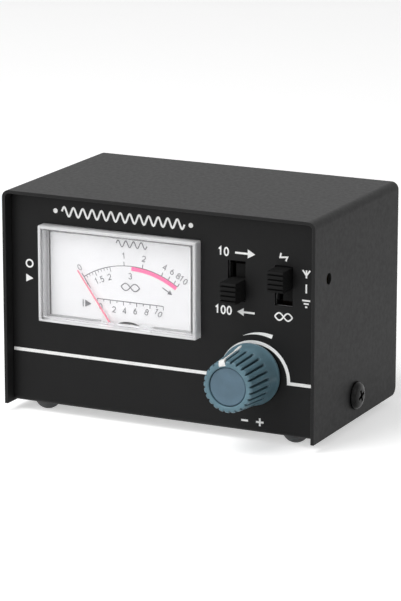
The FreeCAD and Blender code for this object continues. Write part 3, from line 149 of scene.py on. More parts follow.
# -------------------------------------------------------------------------- materials
class Finish:
    """A material under construction: one Principled shader and the patterns that feed it."""

    def __init__(self, name, base, roughness, metallic=0.0):
        self.material = bpy.data.materials.new(name)
        self.material.use_nodes = True
        self.nodes = self.material.node_tree.nodes
        self.links = self.material.node_tree.links
        self.shader = self.nodes["Principled BSDF"]
        self.shader.inputs["Base Color"].default_value = (*base, 1)
        self.shader.inputs["Roughness"].default_value = roughness
        self.shader.inputs["Metallic"].default_value = metallic
        self.base = base
        self.place = self.nodes.new("ShaderNodeTexCoord").outputs["Object"]

    def constant(self, **values):
        """Set plain values on the shader; underscores stand for spaces."""
        for socket, value in values.items():
            self.shader.inputs[socket.replace("_", " ")].default_value = value
        return self

    def add(self, kind, **fields):
        made = self.nodes.new(kind)
        for field, value in fields.items():
            setattr(made, field, value)
        return made

    def maths(self, operation, *values):
        """The result of a sum on patterns or plain numbers."""
        made = self.add("ShaderNodeMath", operation=operation)
        for socket, value in zip(made.inputs, values):
            if isinstance(value, (int, float)):
                socket.default_value = value
            else:
                self.links.new(value, socket)
        return made.outputs["Value"]

    def stretched(self, x, y, z):
        """The object's coordinates with each axis scaled by itself."""
        mapping = self.add("ShaderNodeMapping")
        mapping.inputs["Scale"].default_value = (x, y, z)
        self.links.new(self.place, mapping.inputs["Vector"])
        return mapping.outputs["Vector"]

    def noise(self, grain, detail=3.0, along=None):
        """Cloudy noise with features of about `grain` millimetres."""
        cloud = self.add("ShaderNodeTexNoise")
        cloud.inputs["Scale"].default_value = 1 / (grain * MM)
        cloud.inputs["Detail"].default_value = detail
        self.links.new(along or self.place, cloud.inputs["Vector"])
        return cloud.outputs["Fac"]

    def cells(self, grain):
        """Distance to the nearest of many scattered points, about `grain` millimetres apart."""
        spread = self.add("ShaderNodeTexVoronoi")
        spread.inputs["Scale"].default_value = 1 / (grain * MM)
        self.links.new(self.place, spread.inputs["Vector"])
        return spread.outputs["Distance"]

    def bands(self, pitch, direction="X", warp=0.0):
        """Parallel bands, one each `pitch` millimetres."""
        wave = self.add("ShaderNodeTexWave", bands_direction=direction)
        wave.inputs["Scale"].default_value = 0.314 / (pitch * MM)
        wave.inputs["Distortion"].default_value = warp
        self.links.new(self.place, wave.inputs["Vector"])
        return wave.outputs["Fac"]

    def between(self, value, start, end, low_value, high_value):
        """Map a pattern's values from start..end to low_value..high_value."""
        remap = self.add("ShaderNodeMapRange")
        for socket, number in (("From Min", start), ("From Max", end),
                               ("To Min", low_value), ("To Max", high_value)):
            remap.inputs[socket].default_value = number
        self.links.new(value, remap.inputs["Value"])
        return remap.outputs["Result"]

    def blend(self, factor, first, second):
        """Mix of two colours, or of a colour chain and a colour."""
        mix = self.add("ShaderNodeMix", data_type="RGBA")
        self.links.new(factor, mix.inputs["Factor"])
        for socket, value in (("A", first), ("B", second)):
            target = [i for i in mix.inputs if i.name == socket and i.type == "RGBA"][0]
            if isinstance(value, (tuple, list)):
                target.default_value = (*value, 1)
            else:
                self.links.new(value, target)
        return [o for o in mix.outputs if o.type == "RGBA"][0]

    def shade(self, amount):
        """The base colour made darker or lighter."""
        return tuple(min(1.0, channel * amount) for channel in self.base)

    def patches(self, grain, detail, start, end):
        """Soft patches: 0 where the noise is under `start` and 1 where it is over `end`."""
        return self.between(self.noise(grain, detail), start, end, 0, 1)

    def specks(self, grain, size):
        """Scattered dots, 1 at the middle of each and 0 from `size` of the grain outward."""
        return self.between(self.cells(grain), 0.0, size, 1, 0)

    def rounded_normal(self, radius):
        """The surface's direction, as if its edges were rounded by `radius` millimetres."""
        turn = self.add("ShaderNodeBevel", samples=6)
        turn.inputs["Radius"].default_value = radius * MM
        return turn.outputs["Normal"]

    def edges(self, radius, width):
        """A mask that is 1 along sharp edges, from how far rounded normals leave true ones."""
        dot = self.add("ShaderNodeVectorMath", operation="DOT_PRODUCT")
        self.links.new(self.rounded_normal(radius), dot.inputs[0])
        self.links.new(self.add("ShaderNodeNewGeometry").outputs["Normal"], dot.inputs[1])
        return self.between(dot.outputs["Value"], 1.0, 1.0 - width, 0.0, 1.0)

    def shaded_in_hollows(self, body, amount, reach):
        """Painted shade: a colour chain made darker in holes and grooves that are up to `reach` mm
        deep.
        """
        cover = self.add("ShaderNodeAmbientOcclusion", samples=8, only_local=True)
        cover.inputs["Distance"].default_value = reach * MM
        shade_share = self.between(cover.outputs["AO"], 0.35, 0.95, amount, 0.0)
        return self.blend(shade_share, body, self.shade(0.2))

    def feed(self, socket, value):
        self.links.new(value, self.shader.inputs[socket])
        return self

    def shine(self, grain, low_value, high_value):
        """Let the roughness drift between two values."""
        return self.feed("Roughness", self.between(self.noise(grain), 0.3, 0.7,
                                                   low_value, high_value))

    def surface(self, kind, other, factor=None):
        """End in the mix or the sum of the shader and another one."""
        both = self.add(kind)
        if factor is not None:
            self.links.new(factor, both.inputs["Fac"])
        first, second = [socket for socket in both.inputs if socket.type == "SHADER"]
        self.links.new(self.shader.outputs["BSDF"], first)
        self.links.new(other, second)
        self.links.new(both.outputs["Shader"], self.nodes["Material Output"].inputs["Surface"])
        return self.material

    def bump(self, height, strength, depth, soften=0.0):
        """Relief from a pattern, `depth` millimetres high, over edges softened by `soften`."""
        relief = self.add("ShaderNodeBump")
        relief.inputs["Strength"].default_value = strength
        relief.inputs["Distance"].default_value = depth * MM
        self.links.new(height, relief.inputs["Height"])
        if soften:
            self.links.new(self.rounded_normal(soften), relief.inputs["Normal"])
        return self.feed("Normal", relief.outputs["Normal"])


def powder_coat(name, base):
    """Fine-grained baked paint, a little lighter along its edges: partly worn paint, partly a
    painted highlight.
    """
    finish = Finish(name, base, 0.5).constant(Specular_IOR_Level=0.15)
    mottle = finish.patches(11, 4, 0.35, 0.65)
    body = finish.blend(mottle, finish.shade(0.96), finish.shade(1.05))
    dusty = finish.blend(finish.specks(2.6, 0.06), body, finish.shade(2.2))
    # lighter edges: partly worn paint, partly a painted highlight
    worn = finish.blend(finish.edges(0.3, 0.25), dusty, finish.shade(3.2))
    finish.feed("Base Color", worn).shine(1.2, 0.46, 0.54)
    return finish.bump(finish.noise(0.26, 2), 0.16, 0.04, 0.25).material


def moulded_plastic(name, base, roughness=0.4, grain=0.25, relief=0.25, specular=0.5, hollow_shade=0.0):
    """Plastic with a faint flow mottle, fine tool texture and shine that varies, lighter edges
    that are partly wear and partly a painted highlight, and painted shade in its grooves."""
    finish = Finish(name, base, roughness).constant(IOR=1.49, Specular_IOR_Level=specular)
    flow = finish.patches(5, 3, 0.35, 0.65)
    body = finish.blend(flow, finish.shade(0.92), finish.shade(1.08))
    # lighter edges: partly wear, partly a painted highlight
    wear_highlight_and_shade = finish.blend(finish.edges(0.2, 0.3), body, finish.shade(1.35))
    # painted shade: the colour darkens in grooves and holes by ambient occlusion
    if hollow_shade:
        wear_highlight_and_shade = finish.shaded_in_hollows(wear_highlight_and_shade, hollow_shade, 1.6)
    finish.feed("Base Color", wear_highlight_and_shade).shine(1.1, roughness * 0.85, roughness * 1.2)
    return finish.bump(finish.noise(grain, 2), relief, 0.02).material


def worn_metal(name, base, roughness, streaks=(1, 1, 1), hollow_shade=0.0):
    """Plated or rolled metal with fine streaks, duller patches, bright edges that are partly
    wear and partly a painted highlight, and painted shade in its grooves."""
    finish = Finish(name, base, roughness, 1.0)
    body = finish.blend(finish.patches(2.4, 4, 0.35, 0.7), base, finish.shade(0.72))
    # bright edges: partly wear, partly a painted highlight
    bright = finish.blend(finish.edges(0.2, 0.3), body, finish.shade(1.25))
    # painted shade: the colour darkens in grooves and holes by ambient occlusion
    if hollow_shade:
        bright = finish.shaded_in_hollows(bright, hollow_shade, 2.5)
    finish.feed("Base Color", bright)
    lines = finish.noise(0.25, 2, finish.stretched(*streaks))
    finish.feed("Roughness", finish.between(lines, 0.25, 0.75, roughness * 0.75,
                                            min(1.0, roughness * 1.45)))
    return finish.bump(lines, 0.12, 0.01, 0.12).material


def clear_plastic(name, tint, middle_spot, half_size):
    """Clear moulding, partly white and diffuse on its left and right walls and its face's border
    as a painted highlight; lamps shine straight through it onto what is behind."""
    # painted highlight: the shares of the walls and of the face's border that stay clear; the rest
    # is white and diffuse so that they look lit
    satin, border_clear_share = 0.8, 0.4
    whitened_full, whitened_none = 0.8, 0.95
    finish = Finish(name, tint, 0.02).constant(IOR=1.49)
    facing = finish.add("ShaderNodeSeparateXYZ")
    finish.links.new(finish.add("ShaderNodeNewGeometry").outputs["Normal"],
                     facing.inputs["Vector"])
    sideways = finish.maths("ABSOLUTE", facing.outputs["X"])
    spot = finish.add("ShaderNodeSeparateXYZ")
    finish.links.new(finish.place, spot.inputs["Vector"])
    inside = []
    for axis, centre, half in zip("XZ", middle_spot, half_size):
        off = finish.maths("ABSOLUTE", finish.maths("SUBTRACT", spot.outputs[axis], centre * MM))
        inside.append(finish.between(off, (half - whitened_none) * MM, (half - whitened_full) * MM,
                                     1, 0))
    front = finish.between(finish.maths("MULTIPLY", *inside), 0, 1, border_clear_share, 1.0)
    walls = finish.between(sideways, 0.3, 0.9, 1.0, satin)
    finish.feed("Transmission Weight", finish.maths("MINIMUM", front, walls))
    worn = finish.between(finish.noise(6, 2), 0.4, 0.7, 0.008, 0.05)
    dull = finish.between(sideways, 0.3, 0.9, 0.0, 0.22)
    finish.feed("Roughness", finish.maths("MAXIMUM", worn, dull))
    finish.bump(finish.noise(3.5, 2), 0.02, 0.01)
    through = finish.add("ShaderNodeBsdfTransparent")
    through.inputs["Color"].default_value = (0.93, 0.93, 0.93, 1)
    lamp_ray = finish.add("ShaderNodeLightPath").outputs["Is Shadow Ray"]
    return finish.surface("ShaderNodeMixShader", through.outputs["BSDF"], lamp_ray)


def printed_ink(name, base, roughness=0.55):
    """Screen-printed ink, thinner in places and faintly ridged."""
    finish = Finish(name, base, roughness).constant(Specular_IOR_Level=0.3)
    thin = finish.patches(0.9, 4, 0.36, 0.64)
    finish.feed("Base Color", finish.blend(thin, finish.shade(0.94), finish.shade(1.02)))
    finish.shine(0.4, 0.45, 0.65)
    return finish.bump(finish.noise(0.2, 2), 0.15, 0.01).material


def dial_paint(name, base):
    """Matt white lacquer with the faintest cloud in it."""
    finish = Finish(name, base, 0.6).constant(Specular_IOR_Level=0.25)
    cloud = finish.patches(14, 3, 0.35, 0.65)
    finish.feed("Base Color", finish.blend(cloud, finish.shade(0.97), finish.shade(1.02)))
    finish.shine(1.5, 0.52, 0.66)
    return finish.bump(finish.noise(0.3, 2), 0.08, 0.01).material


def soft_rubber(name, base):
    """Slightly translucent rubber with lint and a dull skin."""
    finish = Finish(name, base, 0.62).constant(Subsurface_Weight=0.15, Subsurface_Scale=0.002)
    cloud = finish.blend(finish.noise(3, 3), finish.shade(0.85), finish.shade(1.1))
    finish.feed("Base Color", finish.blend(finish.specks(1.3, 0.12), cloud, finish.shade(1.5)))
    finish.shine(0.8, 0.5, 0.72)
    return finish.bump(finish.noise(0.35, 3), 0.3, 0.03).material


def laminate(name, base, weave=0.5):
    """Board of pressed fibre: crossed threads show faintly under a satin resin."""
    finish = Finish(name, base, 0.45)
    crossed = finish.maths("MULTIPLY", finish.bands(weave, "X", 0.6),
                           finish.bands(weave, "Z", 0.6))
    threads = finish.blend(crossed, finish.shade(0.85), finish.shade(1.15))
    blotch = finish.patches(7, 3, 0.4, 0.7)
    finish.feed("Base Color", finish.blend(blotch, threads, finish.shade(0.8)))
    finish.shine(1.2, 0.38, 0.55)
    return finish.bump(crossed, 0.15, 0.02).material


def wound_wire(name, base):
    """Enamelled wire laid turn by turn."""
    finish = Finish(name, base, 0.3, 0.85)
    turns = finish.bands(0.12, "Y", 0.2)
    finish.feed("Base Color", finish.blend(turns, finish.shade(0.45), finish.shade(1.1)))
    finish.shine(0.6, 0.25, 0.42)
    return finish.bump(turns, 0.6, 0.05).material


def cast_iron(name, base):
    """Dark soft iron with a grainy skin."""
    finish = Finish(name, base, 0.55, 0.7)
    grain = finish.noise(0.45, 4)
    finish.feed("Base Color", finish.blend(grain, finish.shade(0.6), finish.shade(1.3)))
    finish.shine(1.1, 0.45, 0.7)
    return finish.bump(grain, 0.4, 0.04).material


def banded_lacquer(name, base, mark, pitch):
    """Lacquered small part with painted rings along its length."""
    finish = Finish(name, base, 0.35)
    rings = finish.between(finish.bands(pitch, "X"), 0.82, 0.9, 0, 1)
    clouded = finish.blend(finish.noise(0.8, 3), finish.shade(0.9), finish.shade(1.1))
    finish.feed("Base Color", finish.blend(rings, clouded, mark))
    finish.shine(0.5, 0.28, 0.45)
    return finish.bump(finish.noise(0.3, 2), 0.15, 0.02).material


# ------------------------------------------------------------------------------ meshes
def new_piece(name, data):
    """An object in the scene that holds a mesh, a curve, a lamp or a camera."""
    piece = bpy.data.objects.new(name, data)
    bpy.context.scene.collection.objects.link(piece)
    return piece


def add_piece(name, mesh, body, slot, material, *replaced):
    """A piece with its material and its body; it hides what it stands for. Its slot is not used.
    """
    piece = new_piece(name, mesh)
    mesh.materials.clear()
    mesh.materials.append(material)
    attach(piece, body)
    if replaced:
        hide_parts(*replaced)


def to_mesh(name, bm):
    """Turn a bmesh in millimetres into a mesh in metres with outward faces."""
    bmesh.ops.recalc_face_normals(bm, faces=bm.faces)
    bmesh.ops.scale(bm, vec=(MM,) * 3, verts=bm.verts)
    mesh = bpy.data.meshes.new(name)
    bm.to_mesh(mesh)
    bm.free()
    return mesh


def smooth(mesh, angle=35):
    """Smooth shading, kept sharp where faces meet at more than the angle."""
    mesh.shade_smooth()
    mesh.set_sharp_from_angle(angle=math.radians(angle))
    return mesh


def evaluated(holder, name):
    """The mesh that an object shows, as a mesh of its own; the object is removed."""
    graph = bpy.context.evaluated_depsgraph_get()
    mesh = bpy.data.meshes.new_from_object(holder.evaluated_get(graph), depsgraph=graph)
    mesh.name = name
    source = holder.data
    bpy.data.objects.remove(holder)
    if isinstance(source, bpy.types.Curve):
        bpy.data.curves.remove(source)
    else:
        bpy.data.meshes.remove(source)
    return mesh


def moved(mesh, facing="up", spot=(0, 0, 0), spin=0.0):
    """Turn a mesh about its own +Z, face it one way and set it down at a spot in mm."""
    turn = FACING[facing] @ Matrix.Rotation(math.radians(spin), 4, "Z")
    mesh.transform(Matrix.Translation(Vector(spot) * MM) @ turn)
    return mesh


def wrapped(rows, columns, point, loop=False):
    """A surface closed around its axis: point(row, angle) gives each place in mm. Its ends
    are capped, or joined to each other for a loop."""
    bm = bmesh.new()
    rings = []
    for row in range(rows):
        rings.append([bm.verts.new(point(row, 2 * math.pi * column / columns))
                      for column in range(columns)])
    for below, above in zip(rings, rings[1:] + rings[:1] if loop else rings[1:]):
        for column in range(columns):
            after = (column + 1) % columns
            bm.faces.new((below[column], below[after], above[after], above[column]))
    if not loop:
        bm.faces.new(rings[0])
        bm.faces.new(rings[-1])
    return bm


def rounded(profile, radius, steps=4):
    """Round the corners of an open (radius, height) profile, its two ends apart."""
    points = [Vector(p) for p in profile]
    result = [tuple(points[0])]
    for before, corner, after in zip(points, points[1:], points[2:]):
        first, last = before - corner, after - corner
        reach = min(radius, first.length * 0.45, last.length * 0.45)
        start, end = corner + first.normalized() * reach, corner + last.normalized() * reach
        for step in range(steps + 1):
            t = step / steps
            result.append(tuple(start * (1 - t) ** 2 + corner * 2 * t * (1 - t) + end * t * t))
    result.append(tuple(points[-1]))
    return result


def turned(name, profile, columns=64):
    """A solid of revolution about +Z from a (radius, height) profile in mm, start to end."""
    def point(row, angle):
        radius, height = profile[row]
        radius = max(radius, 0.002)
        return (radius * math.cos(angle), radius * math.sin(angle), height)
    return smooth(to_mesh(name, wrapped(len(profile), columns, point)))


def prism(name, outline, bottom, top, shrink=1.0):
    """A straight-sided block from a closed outline in mm; its bottom may be smaller."""
    bm = bmesh.new()
    lower = [bm.verts.new((x * shrink, y * shrink, bottom)) for x, y in outline]
    upper = [bm.verts.new((x, y, top)) for x, y in outline]
    bm.faces.new(lower)
    bm.faces.new(upper)
    count = len(outline)
    for i in range(count):
        bm.faces.new((lower[i], lower[(i + 1) % count], upper[(i + 1) % count], upper[i]))
    return to_mesh(name, bm)


def block(name, near_corner, far_corner, edge=0.0, segments=3):
    """A box between two corners in mm, with its edges rounded."""
    bm = bmesh.new()
    bmesh.ops.create_cube(bm, size=1)
    span = Vector(far_corner) - Vector(near_corner)
    centre = (Vector(far_corner) + Vector(near_corner)) / 2
    bmesh.ops.scale(bm, vec=span, verts=bm.verts)
    bmesh.ops.translate(bm, vec=centre, verts=bm.verts)
    if edge:
        bmesh.ops.bevel(bm, geom=bm.edges, offset=edge, segments=segments, profile=0.5,
                        affect="EDGES")
    return to_mesh(name, bm)


def sheet_plate(name, outlines, thick, edge):
    """A flat plate with holes and rounded edges; outlines in mm, from z 0 to thick."""
    curve = bpy.data.curves.new(name, "CURVE")
    curve.dimensions = "2D"
    curve.fill_mode = "BOTH"
    curve.extrude = (thick / 2 - edge) * MM
    curve.bevel_depth = edge * MM
    curve.bevel_resolution = 2
    curve.offset = -edge * MM
    for outline in outlines:
        spline = curve.splines.new("POLY")
        spline.points.add(len(outline) - 1)
        for point, (x, y) in zip(spline.points, outline):
            point.co = (x * MM, y * MM, 0, 1)
        spline.use_cyclic_u = True
    mesh = evaluated(new_piece(name, curve), name)
    bm = bmesh.new()
    bm.from_mesh(mesh)
    bmesh.ops.remove_doubles(bm, verts=bm.verts, dist=0.002 * MM)
    bm.to_mesh(mesh)
    bm.free()
    mesh.transform(Matrix.Translation((0, 0, thick / 2 * MM)))
    return smooth(mesh)


def circle(x, y, radius, count=48):
    return [(x + radius * math.cos(2 * math.pi * i / count),
             y + radius * math.sin(2 * math.pi * i / count)) for i in range(count)]


def rounded_rectangle(left, bottom, right, top, radius, steps=5):
    """Outline of a rectangle with rounded corners, in mm."""
    points = []
    corners = ((right, top, 0), (left, top, 90), (left, bottom, 180), (right, bottom, 270))
    for x, y, start in corners:
        centre_x = x - math.copysign(radius, x - (left + right) / 2)
        centre_y = y - math.copysign(radius, y - (bottom + top) / 2)
        for step in range(steps + 1):
            angle = math.radians(start + 90 * step / steps)
            points.append((centre_x + radius * math.cos(angle),
                           centre_y + radius * math.sin(angle)))
    return points


def joined(name, meshes):
    """Several meshes as one, their material slots left empty."""
    bm = bmesh.new()
    for mesh in meshes:
        bm.from_mesh(mesh)
        bpy.data.meshes.remove(mesh)
    mesh = bpy.data.meshes.new(name)
    bm.to_mesh(mesh)
    bm.free()
    return mesh


def combined(name, solid, others, operation):
    """Boolean of a solid with other solids, all of them meshes that are used up."""
    holder = new_piece(name, solid)
    tools = []
    for other in others:
        tool = new_piece(name + "_tool", other)
        step = holder.modifiers.new("step", "BOOLEAN")
        step.operation = operation
        step.solver = "EXACT"
        step.object = tool
        tools.append(tool)
    mesh = evaluated(holder, name)
    for tool in tools:
        used = tool.data
        bpy.data.objects.remove(tool)
        bpy.data.meshes.remove(used)
    if not mesh.polygons:
        raise RuntimeError(f"{name} came out empty")
    return mesh


def bow(across, up, half_width, half_height, start, end, steps=14):
    """Part of an ellipse; angles in degrees clockwise from straight up."""
    turns = [math.radians(start + (end - start) * i / steps) for i in range(steps + 1)]
    return [(round(across + half_width * math.sin(turn), 4),
             round(up + half_height * math.cos(turn), 4)) for turn in turns]


# strokes of plain digits, one unit high and up to 0.6 wide
DIGITS = {
    "0": [bow(0.3, 0.5, 0.27, 0.5, 0, 360)],
    "1": [[(0.1, 0.76), (0.34, 1.0), (0.34, 0.0)]],
    "2": [bow(0.3, 0.7, 0.27, 0.3, -80, 115) + [(0.02, 0.04), (0.6, 0.04)]],
    "3": [bow(0.28, 0.76, 0.24, 0.24, -70, 180), bow(0.28, 0.27, 0.28, 0.27, 0, 250)],
    "4": [[(0.44, 0.0), (0.44, 1.0), (0.0, 0.28), (0.6, 0.28)]],
    "5": [[(0.54, 0.96), (0.12, 0.96), (0.08, 0.54)] + bow(0.28, 0.31, 0.28, 0.31, -35, 235)],
    "6": [bow(0.3, 0.3, 0.27, 0.3, 0, 360), [(0.04, 0.36), (0.16, 0.74), (0.42, 1.0)]],
    "8": [bow(0.3, 0.76, 0.23, 0.24, 0, 360), bow(0.3, 0.27, 0.28, 0.27, 0, 360)],
    ".": [[(0.02, 0.0), (0.02, 0.13)]],
}


class Print:
    """Flat marks on a face, drawn in millimetres and made into thin raised ink."""

    def __init__(self):
        self.bm = bmesh.new()
        self.level = 0.0

    def step_up(self):
        """Lift each mark a hair over the one before, so that crossings stay clean."""
        self.level += 0.002

    def shape(self, points):
        self.step_up()
        self.bm.faces.new([self.bm.verts.new((x, y, self.level)) for x, y in points])
        return self

    def line(self, points, width, closed=False):
        """A line of even width through the points, its corners mitred."""
        self.step_up()
        count = len(points)
        path = [Vector(p) for p in points]
        pairs = []
        for i, here in enumerate(path):
            before = path[i - 1] if i or closed else None
            after = path[(i + 1) % count] if i < count - 1 or closed else None
            sides = []
            for start, end in ((before, here), (here, after)):
                if start is not None and end is not None:
                    run = (end - start).normalized()
                    sides.append(Vector((-run.y, run.x)))
            side = sum(sides, Vector((0, 0))).normalized()
            reach = width / 2 / max(0.35, side.dot(sides[0]))
            pairs.append([self.bm.verts.new((*(here + side * reach * way), self.level))
                          for way in (1, -1)])
        last = count if closed else count - 1
        for i in range(last):
            a, b = pairs[i], pairs[(i + 1) % count]
            self.bm.faces.new((a[0], b[0], b[1], a[1]))
        return self

    def arc(self, centre, radius, width, start, end, steps=48, closed=False):
        """Part of a ring; angles in degrees clockwise from straight up."""
        angles = [start + (end - start) * i / steps for i in range(steps + (0 if closed else 1))]
        return self.line([polar(centre, radius, angle) for angle in angles], width, closed)

    def tick(self, centre, inner, outer, angle, width):
        """A short line along a radius."""
        return self.line([polar(centre, inner, angle), polar(centre, outer, angle)], width)

    def beat(self, left, level, span, steps, width):
        """Two lobes side by side, as a mirrored pair of half waves."""
        for way in (-1, 1):
            self.line([(left + span * i / steps,
                        level + way * 1.1 * abs(math.sin(2 * math.pi * i / steps)))
                       for i in range(steps + 1)], width)

    def wedge(self, centre, inner, outer, start, end, steps=24):
        """A crescent; inner and outer are its radii at its start and at its end."""
        near_side, far_side = [], []
        for i in range(steps + 1):
            share = i / steps
            angle = start + (end - start) * share
            near_side.append(polar(centre, inner[0] + (inner[1] - inner[0]) * share, angle))
            far_side.append(polar(centre, outer[0] + (outer[1] - outer[0]) * share, angle))
        return self.shape(near_side + far_side[::-1])

    def number(self, text, centre, height, lean=0.0, weight=0.13):
        """A plain number centred on a point; lean is clockwise in degrees."""
        turn = Matrix.Rotation(-math.radians(lean), 2)
        pitches = [0.34 if sign == "." else 0.84 for sign in text]
        gap_after_last = 0.24
        start = -(sum(pitches) - gap_after_last) / 2
        for sign, pitch in zip(text, pitches):
            for stroke in DIGITS[sign]:
                closed = stroke[0] == stroke[-1]
                path = [turn @ (Vector((start + x, y - 0.5)) * height) + Vector(centre)
                        for x, y in (stroke[:-1] if closed else stroke)]
                self.line(path, weight * height, closed)
            start += pitch
        return self

    def mesh(self, name, thick):
        """The ink as a closed layer, its own XY plane against the face it is printed on."""
        bmesh.ops.remove_doubles(self.bm, verts=self.bm.verts, dist=0.001)
        for face in self.bm.faces:
            if face.normal.z < 0:
                face.normal_flip()
        lifted = bmesh.ops.extrude_face_region(self.bm, geom=self.bm.faces[:])
        top = [item for item in lifted["geom"] if isinstance(item, bmesh.types.BMVert)]
        bmesh.ops.translate(self.bm, verts=top, vec=(0, 0, thick))
        return to_mesh(name, self.bm)


def polar(centre, radius, angle):
    """A point at an angle in degrees clockwise from straight up."""
    turn = math.radians(angle)
    return (centre[0] + radius * math.sin(turn), centre[1] + radius * math.cos(turn))


def print_on(name, marks, face, thick, slot, ink):
    """Lay ink on a surface that faces the front, `face` being its place along Y."""
    mesh = moved(marks.mesh(name, thick), "front", (0, face, 0))
    add_piece(name, mesh, "case", slot, ink)


def paint_parts(material, *nodes):
    """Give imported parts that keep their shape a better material."""
    for node in nodes:
        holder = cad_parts[node]
        if not holder.data.materials:
            holder.data.materials.append(material)
        for slot in holder.material_slots:
            slot.material = material


# ------------------------------------------------------------------------------ pieces
def cross_cutter(name, arm, web, depth):
    """The hole that a cross-point screwdriver needs, narrowing downward."""
    outline = [(arm, -web), (arm, web), (web, web), (web, arm), (-web, arm), (-web, web),
               (-arm, web), (-arm, -web), (-web, -web), (-web, -arm), (web, -arm), (web, -web)]
    return prism(name, outline, -depth, depth * 0.4, 0.42)


def screw_mesh(name, radius, rise, shank, shank_length):
    """A round-headed cross-recess screw about +Z, 0 under the head, in mm."""
    profile = rounded([
        (0, -shank_length), (shank * 0.8, -shank_length), (shank, -shank_length + 0.4),
        (shank, 0), (radius * 0.94, 0), (radius, rise * 0.12), (radius * 0.97, rise * 0.42),
        (radius * 0.8, rise * 0.8), (radius * 0.5, rise * 0.97), (0, rise),
    ], 0.35)
    head = turned(name, profile, 72)
    cutter = cross_cutter(name + "_cross", radius * 0.56, radius * 0.14, rise * 0.75)
    cutter.transform(Matrix.Translation((0, 0, rise * 1.02 * MM)))
    return smooth(combined(name, head, [cutter], "DIFFERENCE"), 30)


def make_box():
    """Powder coat on the cover and chassis."""
    paint = settings("paint")
    paint_parts(powder_coat("cover_powder_coat", tuple(paint.steel)), "cover")
    paint_parts(powder_coat("chassis_powder_coat", tuple(paint.panel)), "chassis")


def make_cover_screws():
    """The black cross-recess screw in each side of the cover."""
    paint = settings("paint")
    oxide = moulded_plastic("black_oxide", tuple(paint.screw), 0.2, specular=0.14)
    centre = middle("cover_screws")
    meshes = []
    for side, facing in ((1, "right"), (-1, "left")):
        one = screw_mesh("cover_screw", radius=4.3, rise=2.0, shank=2.0, shank_length=6.0)
        spot = (side * high("cover").x, centre.y, centre.z)
        meshes.append(moved(one, facing, spot, 20 * side))
    add_piece("side_screws", joined("side_screws", meshes), "case", "screw_black", oxide,
              "cover_screws")


def make_feet():
    """Four domed rubber feet."""
    rubber = soft_rubber("grey_rubber", (0.06, 0.062, 0.064))
    first, last = low("feet"), high("feet")
    radius, tall = 4.0, last.z
    profile = rounded([(0, 0), (1.4, 0), (2.45, tall * 0.2), (3.17, tall * 0.45),
                       (3.73, tall * 0.75), (3.99, tall - 0.1), (3.99, tall), (0, tall)], 0.25)
    meshes = []
    for x in (first.x + radius, last.x - radius):
        for y in (first.y + radius, last.y - radius):
            meshes.append(moved(turned("foot", profile, 56), "up", (x, y, 0)))
    add_piece("rubber_feet", joined("rubber_feet", meshes), "case", "foot_rubber", rubber, "feet")


def wave(centre, span, height, periods, steps=16):
    """Points of a sine wave through a centre."""
    count = periods * steps
    return [(centre[0] - span / 2 + span * i / count,
             centre[1] + height / 2 * math.sin(2 * math.pi * i / steps))
            for i in range(count + 1)]


def arrow(marks, centre, size, way, width):
    """A small arrow pointing right (1) or left (-1)."""
    x, z = centre
    half = size / 2
    marks.line([(x - half * way, z), (x + half * 0.4 * way, z)], width)
    marks.shape([(x + half * 0.25 * way, z + half * 0.42), (x + half * way, z),
                 (x + half * 0.25 * way, z - half * 0.42)])


def make_panel_print():
    """White lines, plain numbers and signs printed on the front panel."""
    paint = settings("paint")
    ink = printed_ink("panel_ink", tuple(paint.print_white))
    base = low("cover").z
    title, over, under, foot = base + 60.4, base + 53.8, base + 36.3, base + 3.7
    knob = middle("cal_knob")
    marks = Print()
    line, centre = paint.line_width / MM, (knob.x + 0.9, base + 16.9)
    height, radius = paint.line_height / MM, paint.arc_radius / MM
    end = math.degrees(math.acos((height - centre[1]) / radius))
    marks.line([(low("cover").x + 1.4, height)]
               + [polar(centre, radius, end * (i / 28 - 1)) for i in range(57)]
               + [(high("cover").x - 2.4, height)], line)
    marks.wedge(centre, (12.9, 13.45), (12.95, 14.75), -17, 23)
    # title line: a long wave between two dots
    marks.line(wave((-12.5, title), 40.5, 2.7, 13), 0.62)
    for x in (-34.9, 9.8):
        marks.shape(circle(x, title, 0.75, 20))
    # feed side: a ring over a triangle
    marks.arc((-43.9, base + 43.4), 1.1, 0.5, 0, 360, 28, True)
    marks.shape([(-45.1, base + 37.7), (-42.7, base + 38.9), (-45.1, base + 40.1)])
    # aerial side: a mast with arms, a bar and an earth sign
    mast = 46.7
    marks.line([(mast, base + 48.5), (mast, base + 50.9)], 0.5)
    for way in (-1, 1):
        marks.line([(mast, base + 49.3), (mast + 1.15 * way, base + 50.9)], 0.5)
    marks.line([(mast, base + 44.1), (mast, base + 46.7)], 0.5)
    for step, half in enumerate((1.25, 0.8, 0.35)):
        level = base + 41.9 - step * 0.95
        marks.line([(mast - half, level), (mast + half, level)], 0.5)
    # ranges
    slots = middle("range_lever").x, middle("mode_lever").x
    for text, level, off, span, way in (("10", over, 2.7, 6.4, 1), ("100", under, 3.0, 5.6, -1)):
        marks.number(text, (slots[0] - 4.3, level), 2.3, 0, 0.2)
        arrow(marks, (slots[0] + off, level), span, way, 0.6)
    # a spark over the second slot and a beat under it
    x = slots[1]
    marks.line([(x - 0.9, base + 55.2), (x - 1.2, base + 53.9), (x + 1.1, base + 54.1),
                (x + 0.6, base + 52.9)], 0.5)
    marks.beat(x - 2.8, under, 5.6, 20, 0.45)
    # less and more under the knob
    marks.line([(knob.x - 3.4, foot), (knob.x - 1.2, foot)], 0.6)
    marks.line([(knob.x + 1.4, foot), (knob.x + 3.8, foot)], 0.6)
    marks.line([(knob.x + 2.6, base + 2.5), (knob.x + 2.6, base + 4.9)], 0.6)
    print_on("panel_marks", marks, low("chassis").y, 0.03, "black_paint", ink)


